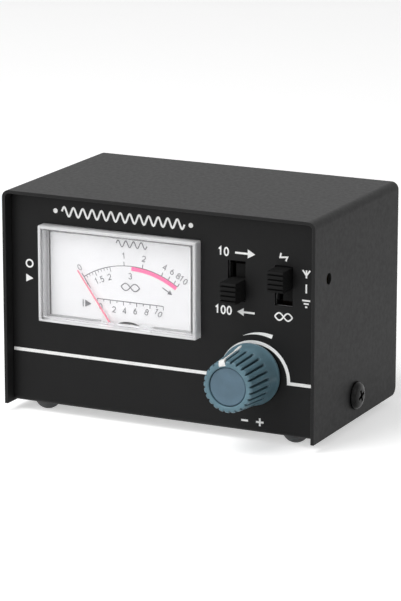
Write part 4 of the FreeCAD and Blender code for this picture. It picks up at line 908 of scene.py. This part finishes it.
def make_lens():
    """Clear block that stands proud of the panel, hollow over the dial."""
    rim_low, rim_high = low("meter_lens"), high("meter_lens")
    margin, wall, thick, tall = 2.6, 1.2, 1.2, 29.3
    # room under the block for the needle's pivot
    pivot_x, sweep_half, sweep_rise = -12, 8.8, 7.6
    bottom = rim_high.z - margin - tall
    left, right = rim_low.x + margin, rim_high.x - margin
    top, rear = rim_high.z - margin, rim_high.y
    clear = clear_plastic("clear_moulding", (0.91, 0.91, 0.92),
                          ((left + right) / 2, (bottom + top) / 2),
                          ((right - left) / 2, (top - bottom) / 2))
    outer = block("lens_outer", (left, rim_low.y, bottom), (right, rear - 0.2, top), 0.35, 4)
    rim = block("lens_rim", (rim_low.x, rear - thick, rim_low.z), (rim_high.x, rear, rim_high.z),
                0.2, 2)
    solid = combined("lens_solid", outer, [rim], "UNION")
    hollow = block("lens_hollow", (left + wall, rim_low.y + wall, bottom + wall),
                   (right - wall, rear + 3, top - wall), 0.4, 3)
    sweep = block("lens_sweep",
                  (pivot_x - sweep_half, rear - thick - 0.001, rim_low.z + sweep_rise),
                  (pivot_x + sweep_half, rear + 3, bottom + wall + 2), 0.1, 1)
    mesh = combined("lens_block", solid, [hollow, sweep], "DIFFERENCE")
    add_piece("lens_block", smooth(mesh, 40), "case", "lens_clear", clear, "meter_lens")


def make_meter_case():
    """White case behind the lens with its nuts and terminals."""
    paint_parts(moulded_plastic("case_plastic", (0.78, 0.78, 0.78), 0.38), "meter_case")
    paint_parts(worn_metal("zinc_plate", (0.55, 0.56, 0.57), 0.3), "meter_nuts", "terminal_nuts")
    paint_parts(worn_metal("terminal_brass", (0.65, 0.48, 0.2), 0.3), "meter_terminals")


def make_dial():
    """Dial plate with its two scales, plain numbers and the band."""
    dial = settings("dial")
    paint_parts(dial_paint("dial_lacquer", tuple(dial.face)), "dial_plate")
    paint_parts(worn_metal("screw_brass", (0.62, 0.47, 0.22), 0.3), "dial_screws")
    pivot = middle("coil_pivots")
    centre = (pivot.x + 0.7, pivot.z - 2.15)
    radius, tall = dial.scale_radius / MM, dial.digit_height / MM
    scale_start, scale_end = -34.1, 33.4
    ink = Print()
    ink.arc(centre, radius, 0.24, scale_start, scale_end, 80)
    for angle in (scale_start, -4.4, 8.0, 21.4, 26.3, 30.6, scale_end):
        ink.tick(centre, radius, radius + 1.25, angle, 0.27)
    ink.tick(centre, radius - 1.9, radius, scale_start, 0.27)
    for step in range(9):
        angle = -32.0 + 2.2 * step
        reach = 1.5 if step in (3, 8) else 0.8
        ink.tick(centre, radius - reach, radius, angle, 0.2)
    outer = (("0", -33.5), ("1", -4.2), ("2", 8.2), ("4", 21.5), ("6", 26.4), ("8", 30.6),
             ("10", 34.2))
    inner = (("1", -34.1), ("1.5", -24.8), ("2", -16.4), ("3", -0.3))
    for across, numbers in ((radius + 3.05, outer), (radius - 3.0, inner)):
        for text, angle in numbers:
            ink.number(text, polar(centre, across, angle), tall, angle)
    base = low("cover").z
    left, right, level = -22.55, -0.5, base + 34.3
    ink.line([(left, level), (right, level)], 0.24)
    for step in range(11):
        x = left + (right - left) * step / 10
        ink.line([(x, level), (x, level - (0.7 if step % 2 else 1.2))], 0.22)
    for text, x, rise, lean in (
            ("0", -21.4, 0.5, 0), ("2", -16.9, 0, 0), ("4", -13.4, 0, 0),
            ("6", -9.8, 0.25, 5), ("8", -6.0, 0.4, 18), ("10", -2.2, 0.6, 32)):
        ink.number(text, (x, base + 31.5 + rise), tall, lean)
    # a wave over the upper scale, a beat between the scales and two small pointers
    ink.line(wave((-10.9, base + 52.0), 10.2, 1.9, 4), 0.3)
    ink.beat(-14.5, base + 38.9, 6.2, 24, 0.3)
    ink.line([(-27.3, base + 31.3), (-27.3, base + 33.5)], 0.3)
    ink.shape([(-26.6, base + 31.3), (-24.5, base + 32.4), (-26.6, base + 33.5)])
    ink.line([polar(centre, radius - 3.0, 25.0), polar(centre, radius - 3.1, 32.6)], 0.3)
    ink.shape([polar(centre, radius - 2.3, 30.6), polar(centre, radius - 3.1, 33.6),
               polar(centre, radius - 3.9, 30.2)])
    face = low("dial_plate").y
    print_on("dial_marks", ink, face, 0.02, "dial_white",
             printed_ink("dial_ink", tuple(dial.ink)))
    # painted shade: a black arch round the opening over the pivot, for the dark inside seen
    # through it
    arch = Print()
    crown = (pivot.x, pivot.z - 0.5)
    arch.shape([polar(crown, 9.15, 31 * (i / 16 - 1)) for i in range(33)]
               + [polar((pivot.x, pivot.z), 8.05, 36 * (1 - i / 16)) for i in range(33)])
    print_on("dial_shade_arch", arch, face, 0.015, "dial_white",
             printed_ink("arch_painted_shade", (0.03, 0.03, 0.03)))
    band = Print()
    band.arc(centre, radius - 0.72, 1.25, 0.5, scale_end, 44)
    print_on("dial_band", band, face, 0.015, "needle_pink",
             printed_ink("band_ink", tuple(dial.band)))


def make_movement():
    """Needle, coil, core, frame and springs of the meter."""
    dial = settings("dial")
    paint_parts(printed_ink("needle_paint", tuple(dial.needle), 0.4), "needle")
    paint_parts(wound_wire("coil_wire", (0.62, 0.27, 0.12)), "moving_coil")
    paint_parts(worn_metal("pivot_steel", (0.5, 0.5, 0.52), 0.2), "coil_pivots")
    paint_parts(worn_metal("frame_brass", (0.5, 0.36, 0.16), 0.35), "movement_frame",
                "core_straps", "jewel_screws")
    paint_parts(cast_iron("soft_iron", (0.06, 0.06, 0.062)), "core_magnet", "yoke_ring")
    paint_parts(worn_metal("spring_bronze", (0.55, 0.34, 0.16), 0.28), "hairsprings")


def make_levers():
    """The two black levers with rounded grip ribs, and their sliders."""
    # painted shade darkens the grooves between the grip ribs
    black = moulded_plastic("lever_plastic", (0.012, 0.012, 0.012), 0.5, 0.2, 0.3, specular=0.05,
                            hollow_shade=1.0)
    width, tall, pitch, depth = 5.1, 6.3, 1.42, 0.5
    groove = ((0, 0.27), (0.22, 0.2), (depth, 0.1), (depth, -0.1), (0.22, -0.2), (0, -0.27))
    for name in ("range", "mode"):
        node = f"{name}_lever"
        centre = middle(node)
        front, rear = low(node).y, high(node).y
        face, top, bottom = rear - 3.0, centre.z + tall / 2, centre.z - tall / 2
        outline = [(face + 0.3, bottom), (face + 0.3, top), (front + 0.5, top),
                   (front + 0.14, top - 0.14), (front, top - 0.45)]
        for step in (1.5, 0.5, -0.5, -1.5):
            outline += [(front + cut, centre.z + step * pitch + rise) for cut, rise in groove]
        outline += [(front, bottom + 0.45), (front + 0.14, bottom + 0.14), (front + 0.5, bottom)]
        grip = sheet_plate(f"{name}_grip", [outline], width, 0.15)
        # the outline lies in the YZ plane and its thickness along X
        stand = Matrix(((0, 0, 1, 0), (1, 0, 0, 0), (0, 1, 0, 0), (0, 0, 0, 1)))
        grip.transform(Matrix.Translation(((centre.x - width / 2) * MM, 0, 0)) @ stand)
        slider = block(f"{name}_slider", (low(node).x, face, low(node).z),
                       (high(node).x, rear, high(node).z), 0.15)
        relief = block("relief", (centre.x - 2.25, face - 1, low(node).z - 1),
                       (centre.x - 1.0, rear - 1.0, high(node).z + 1), 0.01, 1)
        slider = combined(f"{name}_slider", slider, [relief], "DIFFERENCE")
        add_piece(f"{name}_grip_lever", joined(node, [grip, slider]), f"{name}_control",
                  "black_plastic", black, node)


def make_switches():
    """Shells, bases, clips and pins of the slide switches and their board."""
    zinc = worn_metal("switch_zinc", (0.2, 0.2, 0.205), 0.42, (1, 1, 14))
    laminated = laminate("switch_phenolic", (0.05, 0.028, 0.014))
    bronze = worn_metal("clip_bronze", (0.6, 0.4, 0.2), 0.28)
    silver = worn_metal("pin_silver", (0.72, 0.71, 0.68), 0.24)
    for name in ("range", "mode"):
        paint_parts(zinc, f"{name}_switch_shell")
        paint_parts(laminated, f"{name}_switch_base")
        paint_parts(bronze, f"{name}_clips")
        paint_parts(silver, f"{name}_switch_pins")
    paint_parts(laminate("board_laminate", (0.33, 0.22, 0.07), 0.7), "control_board")


KNOB_TALL = 16.3
SKIRT_RADIUS = 9.35


def knob_rows():
    """(height, land radius, share of the groove depth) down the knob, back to front."""
    rows = [(0.0, 9.05, 0), (0.1, 9.25, 0), (0.3, SKIRT_RADIUS, 0), (1.0, SKIRT_RADIUS, 0),
            (1.25, 9.28, 0), (1.4, 9.15, 0)]
    flare_foot, flare_radius, grip_foot, grip_radius, face_radius = 1.4, 9.15, 5.5, 8.5, 7.7
    for step in range(1, 9):
        share = step / 8
        rows.append((flare_foot + (grip_foot - flare_foot) * share,
                     grip_radius + (flare_radius - grip_radius) * (1 - share) ** 1.5, 0))
    taper = (grip_radius - face_radius) / (KNOB_TALL - grip_foot)
    # height, how far the front edge is drawn in, share of the groove depth
    for height, pull, depth in (
            (5.55, 0, 0.3), (5.65, 0, 0.5), (5.85, 0, 0.74), (6.15, 0, 0.92), (6.6, 0, 1.0),
            (8.0, 0, 1), (9.6, 0, 1), (11.2, 0, 1), (12.8, 0, 1), (14.4, 0, 1), (15.2, 0, 0.9),
            (15.6, 0, 0.8), (15.85, 0.05, 0.7), (16.05, 0.14, 0.62), (16.2, 0.26, 0.55),
            (16.28, 0.4, 0.5)):
        rows.append((height, grip_radius - taper * (height - grip_foot) - pull, depth))
    rows += [(KNOB_TALL, 7.1, 0.42), (KNOB_TALL, 6.7, 0.2), (KNOB_TALL, 6.2, 0),
             (16.26, 6.0, 0), (16.12, 5.88, 0), (15.85, 5.84, 0), (14.8, 5.84, 0)]
    return rows


def make_knob():
    """Skirted and grooved knob with a disc in its face and a raised white pointer."""
    knob = settings("knob")
    # painted shade darkens the grooves of the grip
    grip = moulded_plastic("knob_plastic", tuple(knob.grip), 0.32, 0.3, 0.15, specular=0.3,
                           hollow_shade=0.9)
    disc = moulded_plastic("cap_plastic", tuple(knob.cap), 0.42, 0.18, 0.15, specular=0.3)
    centre = middle("cal_knob")
    spot = (centre.x, high("cal_knob").y, centre.z)
    lean = 14
    rows, grooves, depth = knob_rows(), knob.grooves, knob.groove_depth / MM

    def point(row, angle):
        height, radius, share = rows[row]
        phase = (angle * grooves / (2 * math.pi)) % 1.0
        off = abs(phase - 0.5) / 0.19
        groove = (0.5 + 0.5 * math.cos(math.pi * off)) ** 0.5 if off < 1 else 0.0
        crown = 0.07 * math.cos(2 * math.pi * phase) * share
        reach = radius - depth * share * groove + crown - 0.07 * share
        return (reach * math.cos(angle), reach * math.sin(angle), height)
    body = smooth(to_mesh("knob_grip", wrapped(len(rows), grooves * 16, point)), 50)
    add_piece("knob_grip", moved(body, "front", spot, lean), "cal_control", "knob_blue", grip,
              "cal_knob")

    cap = turned("knob_disc", rounded([(0, 0), (5.7, 0), (5.7, 1.2), (4.6, 1.13), (0, 1.1)],
                                      0.45), 96)
    seat = (centre.x, high("knob_cap").y, centre.z)
    add_piece("knob_disc", moved(cap, "front", seat), "cal_control", "cap_grey", disc, "knob_cap")
    make_pointer(spot, lean)


def make_pointer(spot, lean):
    """White ridge from the skirt, down the grip and over the front rim."""
    knob = settings("knob")
    # (radius, height, half width, outward share of the lift, lift) along the ridge
    stations = [
        (9.03, 2.2, 0.12, 1, 0.12), (8.88, 3.0, 0.5, 1, 0.2), (8.63, 4.4, 0.55, 1, 0.22),
        (8.48, 5.8, 0.5, 1, 0.24), (8.4, 6.6, 0.27, 1, 0.22), (8.1, 10.5, 0.27, 1, 0.22),
        (7.85, 14.0, 0.3, 1, 0.22), (7.78, 14.6, 0.72, 1, 0.27), (7.7, 15.8, 0.85, 1, 0.3),
        (7.62, 16.05, 0.9, 0.7, 0.3), (7.2, 16.1, 1.0, 0.15, 0.28), (6.4, 16.1, 1.1, 0, 0.27),
        (6.15, 16.05, 1.0, 0, 0.2),
    ]
    bm = bmesh.new()
    loops = []
    for radius, height, half, outward, lift in stations:
        top = (radius + lift * outward, height + lift * (1 - outward))
        foot = (radius - 0.7 * outward, height - 0.7 * (1 - outward))
        loops.append([bm.verts.new((x, y, z)) for x, (y, z) in (
            (-half, foot), (-half, top), (half, top), (half, foot))])
    for before, after in zip(loops, loops[1:]):
        for i in range(4):
            j = (i + 1) % 4
            bm.faces.new((before[i], before[j], after[j], after[i]))
    bm.faces.new(loops[0])
    bm.faces.new(loops[-1])
    bmesh.ops.bevel(bm, geom=bm.edges[:], offset=0.07, segments=2, profile=0.5,
                    affect="EDGES")
    mesh = moved(smooth(to_mesh("knob_pointer", bm), 50), "front", spot, lean)
    white = printed_ink("pointer_paint", tuple(knob.pointer), 0.35)
    add_piece("knob_pointer", mesh, "cal_control", "knob_blue", white)


def make_control():
    """Frame, can, wafer, legs and shaft of the control behind the knob."""
    paint_parts(worn_metal("control_zinc", (0.52, 0.53, 0.54), 0.3, (1, 1, 10)),
                "pot_frame", "pot_can", "pot_washer", "pot_nut")
    paint_parts(laminate("wafer_phenolic", (0.2, 0.1, 0.04)), "pot_wafer", "pot_wiper")
    paint_parts(worn_metal("leg_silver", (0.72, 0.71, 0.68), 0.26), "pot_legs")
    paint_parts(worn_metal("shaft_nickel", (0.62, 0.6, 0.56), 0.22), "pot_shaft")


def make_trimmer():
    """Blue preset with its slotted brass rotor, behind the hole in the side."""
    paint_parts(moulded_plastic("preset_plastic", (0.02, 0.07, 0.3), 0.3), "trimmer_body")
    paint_parts(worn_metal("rotor_brass", (0.66, 0.5, 0.22), 0.25), "trimmer_rotor")


FLANGE_THICK = 1.6
# from a socket's axis to its flange screws, along X and along Z
FLANGE_SCREW_OFF = 9.1


def socket_shell(name):
    """Threaded barrel with a notched mouth on a square flange, +Z out of the mouth."""
    sockets = settings("sockets")
    pitch, depth = sockets.pitch / MM, sockets.thread_depth / MM
    mouth, flange, flange_half = 16.0, FLANGE_THICK, 12.7
    outer, bore, columns = 7.94, 5.9, 96
    rise = 0.132
    heights = [flange + 0.2 + rise * i for i in range(int((mouth - flange - 0.9) / rise))]

    def ridge(height, angle):
        phase = (height / pitch - angle / (2 * math.pi)) % 1.0
        fade = min(1.0, (mouth - 0.5 - height) / 0.6, (height - flange) / 0.8)
        return depth * max(0.0, fade) * abs(2 * phase - 1)
    plain = [(bore, -3.0), (7.3, -3.0), (7.5, -2.8), (7.5, 0.0), (7.5, flange), (7.75, flange)]
    ending = [(outer - 0.25, mouth - 0.45), (outer - 0.75, mouth), (bore + 0.35, mouth),
              (bore, mouth - 0.4)]
    rows = [(r, z, False) for r, z in plain] + [(outer, z, True) for z in heights]
    rows += [(r, z, False) for r, z in ending]

    def point(row, angle):
        radius, height, threaded = rows[row]
        if threaded:
            radius -= ridge(height, angle)
        if math.degrees(angle) % 45 < 7.5 and height > mouth - 0.5:
            height -= 0.9
        return (radius * math.cos(angle), radius * math.sin(angle), height)
    barrel = smooth(to_mesh(name, wrapped(len(rows), columns, point, loop=True)), 40)
    edge = rounded_rectangle(-flange_half, -flange_half, flange_half, flange_half, 2.2)
    holes = [circle(sx * FLANGE_SCREW_OFF, sy * FLANGE_SCREW_OFF, 1.7, 28)
             for sx in (-1, 1) for sy in (-1, 1)]
    plate = sheet_plate(name + "_flange", [edge, circle(0, 0, 7.0, 64)] + holes, flange, 0.2)
    return joined(name, [plate, barrel])


def contact_mesh(name):
    """Centre contact: a sleeve with four slots, +Z out of the socket."""
    tip, bore, slot_half, slot_long, across = 15.4, 2.0, 0.2, 6, 3
    sleeve = turned(name, rounded([
        (0, -9.0), (2.3, -9.0), (2.5, -8.8), (2.5, tip), (bore + 0.12, tip), (bore, tip - 0.3),
        (bore, tip - 12.0), (0, tip - 12.0)], 0.12, 2), 64)
    blades = [block(name + "_slot", (-x, -y, tip - slot_long), (x, y, tip + 1))
              for x, y in ((slot_half, across), (across, slot_half))]
    return smooth(combined(name, sleeve, blades, "DIFFERENCE"), 35)


def make_sockets():
    """The two coaxial sockets on the rear panel: shell, insulator and contact."""
    sockets = settings("sockets")
    # painted shade darkens the hollows of the shells and the bores of the contacts
    nickel = worn_metal("bright_nickel", tuple(sockets.nickel), 0.2, hollow_shade=0.7)
    resin = moulded_plastic("insulator_resin", (0.85, 0.82, 0.74), 0.4)
    silver = worn_metal("contact_silver", (0.75, 0.73, 0.68), 0.22, hollow_shade=1.0)
    rear = high("chassis").y
    for name in ("tx", "antenna"):
        centre = middle(f"{name}_contact")
        spot = (centre.x, rear, centre.z)
        shell = moved(socket_shell(f"{name}_shell"), "rear", spot)
        add_piece(f"{name}_threaded_shell", shell, "case", "nickel", nickel,
                  f"{name}_socket_shell")
        core = turned(f"{name}_core", rounded([
            (2.53, -5.0), (5.85, -5.0), (5.85, 14.8), (5.3, 14.8), (5.0, 14.3), (3.3, 14.3),
            (3.1, 14.8), (2.53, 14.8)], 0.2, 3), 64)
        add_piece(f"{name}_ring_insulator", moved(core, "rear", spot), "case",
                  "insulator_white", resin, f"{name}_insulator")
        sleeve = moved(contact_mesh(f"{name}_sleeve"), "rear", spot)
        add_piece(f"{name}_slotted_contact", sleeve, "case", "silver", silver,
                  f"{name}_contact")


def make_socket_screws():
    """Eight screws through the flanges and the nuts behind them."""
    # painted shade darkens the cross recesses of the screws
    nickel = worn_metal("screw_nickel", (0.6, 0.58, 0.55), 0.25, hollow_shade=0.8)
    face = high("chassis").y + FLANGE_THICK
    meshes = []
    for name in ("tx", "antenna"):
        centre = middle(f"{name}_contact")
        for number, (sx, sz) in enumerate(((-1, -1), (1, -1), (-1, 1), (1, 1))):
            one = screw_mesh("socket_screw", radius=2.8, rise=1.7, shank=1.5, shank_length=6.2)
            spot = (centre.x + FLANGE_SCREW_OFF * sx, face, centre.z + FLANGE_SCREW_OFF * sz)
            meshes.append(moved(one, "rear", spot, 23 + 37 * number))
    add_piece("flange_screws", joined("flange_screws", meshes), "case", "nickel", nickel,
              "socket_screws")
    paint_parts(worn_metal("nut_zinc", (0.52, 0.53, 0.54), 0.3), "socket_nuts")


def make_coupler():
    """Coupler board with its strips, small parts and the leads inside the box."""
    paint_parts(laminate("coupler_laminate", (0.3, 0.21, 0.07), 0.7), "coupler_board")
    paint_parts(worn_metal("tinned_copper", (0.66, 0.5, 0.4), 0.3), "line_strip", "pickup_strips")
    for node, name, base, mark, pitch in (
            ("diodes", "diode_glass", (0.45, 0.12, 0.04), (0.02, 0.02, 0.02), 3.4),
            ("resistors", "resistor_lacquer", (0.5, 0.36, 0.2), (0.3, 0.03, 0.02), 1.6),
            ("capacitors", "capacitor_lacquer", (0.5, 0.2, 0.04), (0.45, 0.16, 0.03), 1.6)):
        paint_parts(banded_lacquer(name, base, mark, pitch), node)
    paint_parts(moulded_plastic("wire_sleeve", (0.35, 0.02, 0.02), 0.35), "lead_wires")


# ------------------------------------------------------------------------------- stage
# in metres and degrees
LAMP_SIZE = 0.6
AIMED_AT = (0, 0, 0.03)
CAMERA_PLACE = (0.4114, -0.8455, 0.2720)
CAMERA_YAW, CAMERA_PITCH = 25.97, 14.26


def studio_floor():
    """White paper that takes a soft shadow but runs out into white."""
    finish = Finish("studio_paper", (0.82, 0.82, 0.82), 0.9)
    finish.feed("Base Color", finish.blend(finish.noise(40, 2), (0.81, 0.81, 0.81),
                                           (0.83, 0.83, 0.83)))
    glow = finish.add("ShaderNodeEmission")
    rays = finish.add("ShaderNodeLightPath").outputs
    seen = finish.maths("MAXIMUM", rays["Is Camera Ray"], rays["Is Glossy Ray"])
    finish.links.new(finish.between(seen, 0, 1, 0.0, 0.5), glow.inputs["Strength"])
    return finish.surface("ShaderNodeAddShader", glow.outputs["Emission"])


def surroundings(strength):
    """Light from all round, seen as plain white by the camera and in shiny surfaces."""
    world = bpy.data.worlds.new("studio")
    world.use_nodes = True
    nodes, links = world.node_tree.nodes, world.node_tree.links
    rays = nodes.new("ShaderNodeLightPath")
    seen = rays.outputs["Is Camera Ray"]
    for kind in ("Is Glossy Ray", "Is Transmission Ray"):
        either = nodes.new("ShaderNodeMath")
        either.operation = "MAXIMUM"
        links.new(seen, either.inputs[0])
        links.new(rays.outputs[kind], either.inputs[1])
        seen = either.outputs["Value"]
    remap = nodes.new("ShaderNodeMapRange")
    remap.inputs["To Min"].default_value = strength
    remap.inputs["To Max"].default_value = 1.0
    links.new(seen, remap.inputs["Value"])
    links.new(remap.outputs["Result"], nodes["Background"].inputs["Strength"])
    nodes["Background"].inputs["Color"].default_value = (1, 1, 1, 1)
    bpy.context.scene.world = world


def lamp(name, power, place):
    """A square soft lamp, aimed at the middle of the meter."""
    data = bpy.data.lights.new(name, "AREA")
    data.energy = power
    data.size = LAMP_SIZE
    holder = new_piece(name, data)
    holder.location = place
    ahead = Vector(AIMED_AT) - Vector(place)
    holder.rotation_euler = ahead.to_track_quat("-Z", "Y").to_euler()


def make_stage():
    """Floor, lamps, surroundings and the camera."""
    stage = settings("stage")
    bm = bmesh.new()
    bmesh.ops.create_grid(bm, x_segments=2, y_segments=2, size=6000)
    floor = new_piece("floor", to_mesh("floor", bm))
    floor.data.materials.append(studio_floor())
    surroundings(stage.sky)
    lamp("overhead_lamp", stage.key, (-0.25, -0.4, 0.9))
    lamp("side_lamp", stage.fill, (0.95, -0.2, 0.5))
    lamp("front_lamp", stage.front, (-0.45, -0.95, 0.5))

    camera = bpy.data.cameras.new("camera")
    camera.lens = stage.focal
    camera.sensor_width = 36
    camera.clip_start = 0.01
    holder = new_piece("camera", camera)
    holder.location = CAMERA_PLACE
    yaw, pitch = math.radians(CAMERA_YAW), math.radians(CAMERA_PITCH)
    ahead = Vector((-math.sin(yaw) * math.cos(pitch), math.cos(yaw) * math.cos(pitch),
                    -math.sin(pitch)))
    holder.rotation_euler = ahead.to_track_quat("-Z", "Y").to_euler()
    bpy.context.scene.camera = holder
    bpy.context.scene.view_settings.view_transform = "Standard"


# --------------------------------------------------------------------------- operators
class BuildBox(bpy.types.Operator):
    """Paint the cover and the chassis"""
    bl_idname = "power_meter.box"
    bl_label = "Box"

    def execute(self, context):
        make_box()
        return {"FINISHED"}


class BuildCoverScrews(bpy.types.Operator):
    """Add the black screw in each side of the cover"""
    bl_idname = "power_meter.cover_screws"
    bl_label = "Side screws"

    def execute(self, context):
        make_cover_screws()
        return {"FINISHED"}


class BuildFeet(bpy.types.Operator):
    """Add the four rubber feet"""
    bl_idname = "power_meter.feet"
    bl_label = "Feet"

    def execute(self, context):
        make_feet()
        return {"FINISHED"}


class BuildPanelPrint(bpy.types.Operator):
    """Print the lines and signs on the front panel"""
    bl_idname = "power_meter.panel_print"
    bl_label = "Panel print"

    def execute(self, context):
        make_panel_print()
        return {"FINISHED"}


class BuildLens(bpy.types.Operator):
    """Add the clear block over the dial"""
    bl_idname = "power_meter.lens"
    bl_label = "Meter lens"

    def execute(self, context):
        make_lens()
        return {"FINISHED"}


class BuildMeterCase(bpy.types.Operator):
    """Dress the meter's case, nuts and terminals"""
    bl_idname = "power_meter.meter_case"
    bl_label = "Meter case"

    def execute(self, context):
        make_meter_case()
        return {"FINISHED"}


class BuildDial(bpy.types.Operator):
    """Add the dial with its scales"""
    bl_idname = "power_meter.dial"
    bl_label = "Dial"

    def execute(self, context):
        make_dial()
        return {"FINISHED"}


class BuildMovement(bpy.types.Operator):
    """Dress the needle, coil, core, frame and springs"""
    bl_idname = "power_meter.movement"
    bl_label = "Meter movement"

    def execute(self, context):
        make_movement()
        return {"FINISHED"}


class BuildLevers(bpy.types.Operator):
    """Add the two ribbed levers"""
    bl_idname = "power_meter.levers"
    bl_label = "Levers"

    def execute(self, context):
        make_levers()
        return {"FINISHED"}


class BuildSwitches(bpy.types.Operator):
    """Dress the slide switches and their board"""
    bl_idname = "power_meter.switches"
    bl_label = "Slide switches"

    def execute(self, context):
        make_switches()
        return {"FINISHED"}


class BuildKnob(bpy.types.Operator):
    """Add the knob with its disc and pointer"""
    bl_idname = "power_meter.knob"
    bl_label = "Knob"

    def execute(self, context):
        make_knob()
        return {"FINISHED"}


class BuildControl(bpy.types.Operator):
    """Dress the control behind the knob"""
    bl_idname = "power_meter.control"
    bl_label = "Control"

    def execute(self, context):
        make_control()
        return {"FINISHED"}


class BuildTrimmer(bpy.types.Operator):
    """Dress the preset behind the hole in the side"""
    bl_idname = "power_meter.trimmer"
    bl_label = "Trimmer"

    def execute(self, context):
        make_trimmer()
        return {"FINISHED"}


class BuildSockets(bpy.types.Operator):
    """Add the two coaxial sockets"""
    bl_idname = "power_meter.sockets"
    bl_label = "Sockets"

    def execute(self, context):
        make_sockets()
        return {"FINISHED"}


class BuildSocketScrews(bpy.types.Operator):
    """Add the screws and nuts of the sockets"""
    bl_idname = "power_meter.socket_screws"
    bl_label = "Socket screws"

    def execute(self, context):
        make_socket_screws()
        return {"FINISHED"}


class BuildCoupler(bpy.types.Operator):
    """Dress the coupler board, its parts and the leads"""
    bl_idname = "power_meter.coupler"
    bl_label = "Coupler"

    def execute(self, context):
        make_coupler()
        return {"FINISHED"}


class BuildStage(bpy.types.Operator):
    """Add the floor, the lamps and the camera"""
    bl_idname = "power_meter.stage"
    bl_label = "Stage"

    def execute(self, context):
        make_stage()
        return {"FINISHED"}


OPERATORS = (BuildBox, BuildCoverScrews, BuildFeet, BuildPanelPrint, BuildLens, BuildMeterCase,
             BuildDial, BuildMovement, BuildLevers, BuildSwitches, BuildKnob, BuildControl,
             BuildTrimmer, BuildSockets, BuildSocketScrews, BuildCoupler, BuildStage)
GROUPS = {"paint": PaintSettings, "dial": DialSettings, "knob": KnobSettings,
          "sockets": SocketSettings, "stage": StageSettings}


class PowerMeterPanel(bpy.types.Panel):
    """Settings of the meter and a button for each of its pieces"""
    bl_idname = "VIEW3D_PT_power_meter"
    bl_label = "Power meter"
    bl_space_type = "VIEW_3D"
    bl_region_type = "UI"
    bl_category = "Power meter"

    def draw(self, context):
        for group, kind in GROUPS.items():
            box = self.layout.box()
            box.label(text=group.capitalize())
            for field in kind.__annotations__:
                box.prop(settings(group), field)
        for kind in OPERATORS:
            self.layout.operator(kind.bl_idname)


def register():
    for kind in (*GROUPS.values(), *OPERATORS, PowerMeterPanel):
        bpy.utils.register_class(kind)
    for group, kind in GROUPS.items():
        setattr(bpy.types.Scene, "power_meter_" + group, PointerProperty(type=kind))


def unregister():
    for group in GROUPS:
        delattr(bpy.types.Scene, "power_meter_" + group)
    for kind in reversed((*GROUPS.values(), *OPERATORS, PowerMeterPanel)):
        bpy.utils.unregister_class(kind)


def main():
    """Build everything in order."""
    register()
    for kind in OPERATORS:
        step = getattr(bpy.ops.power_meter, kind.bl_idname.split(".")[1])
        if step() != {"FINISHED"}:
            raise RuntimeError(f"{kind.bl_label} was not built")


if __name__ == "__main__":
    main()
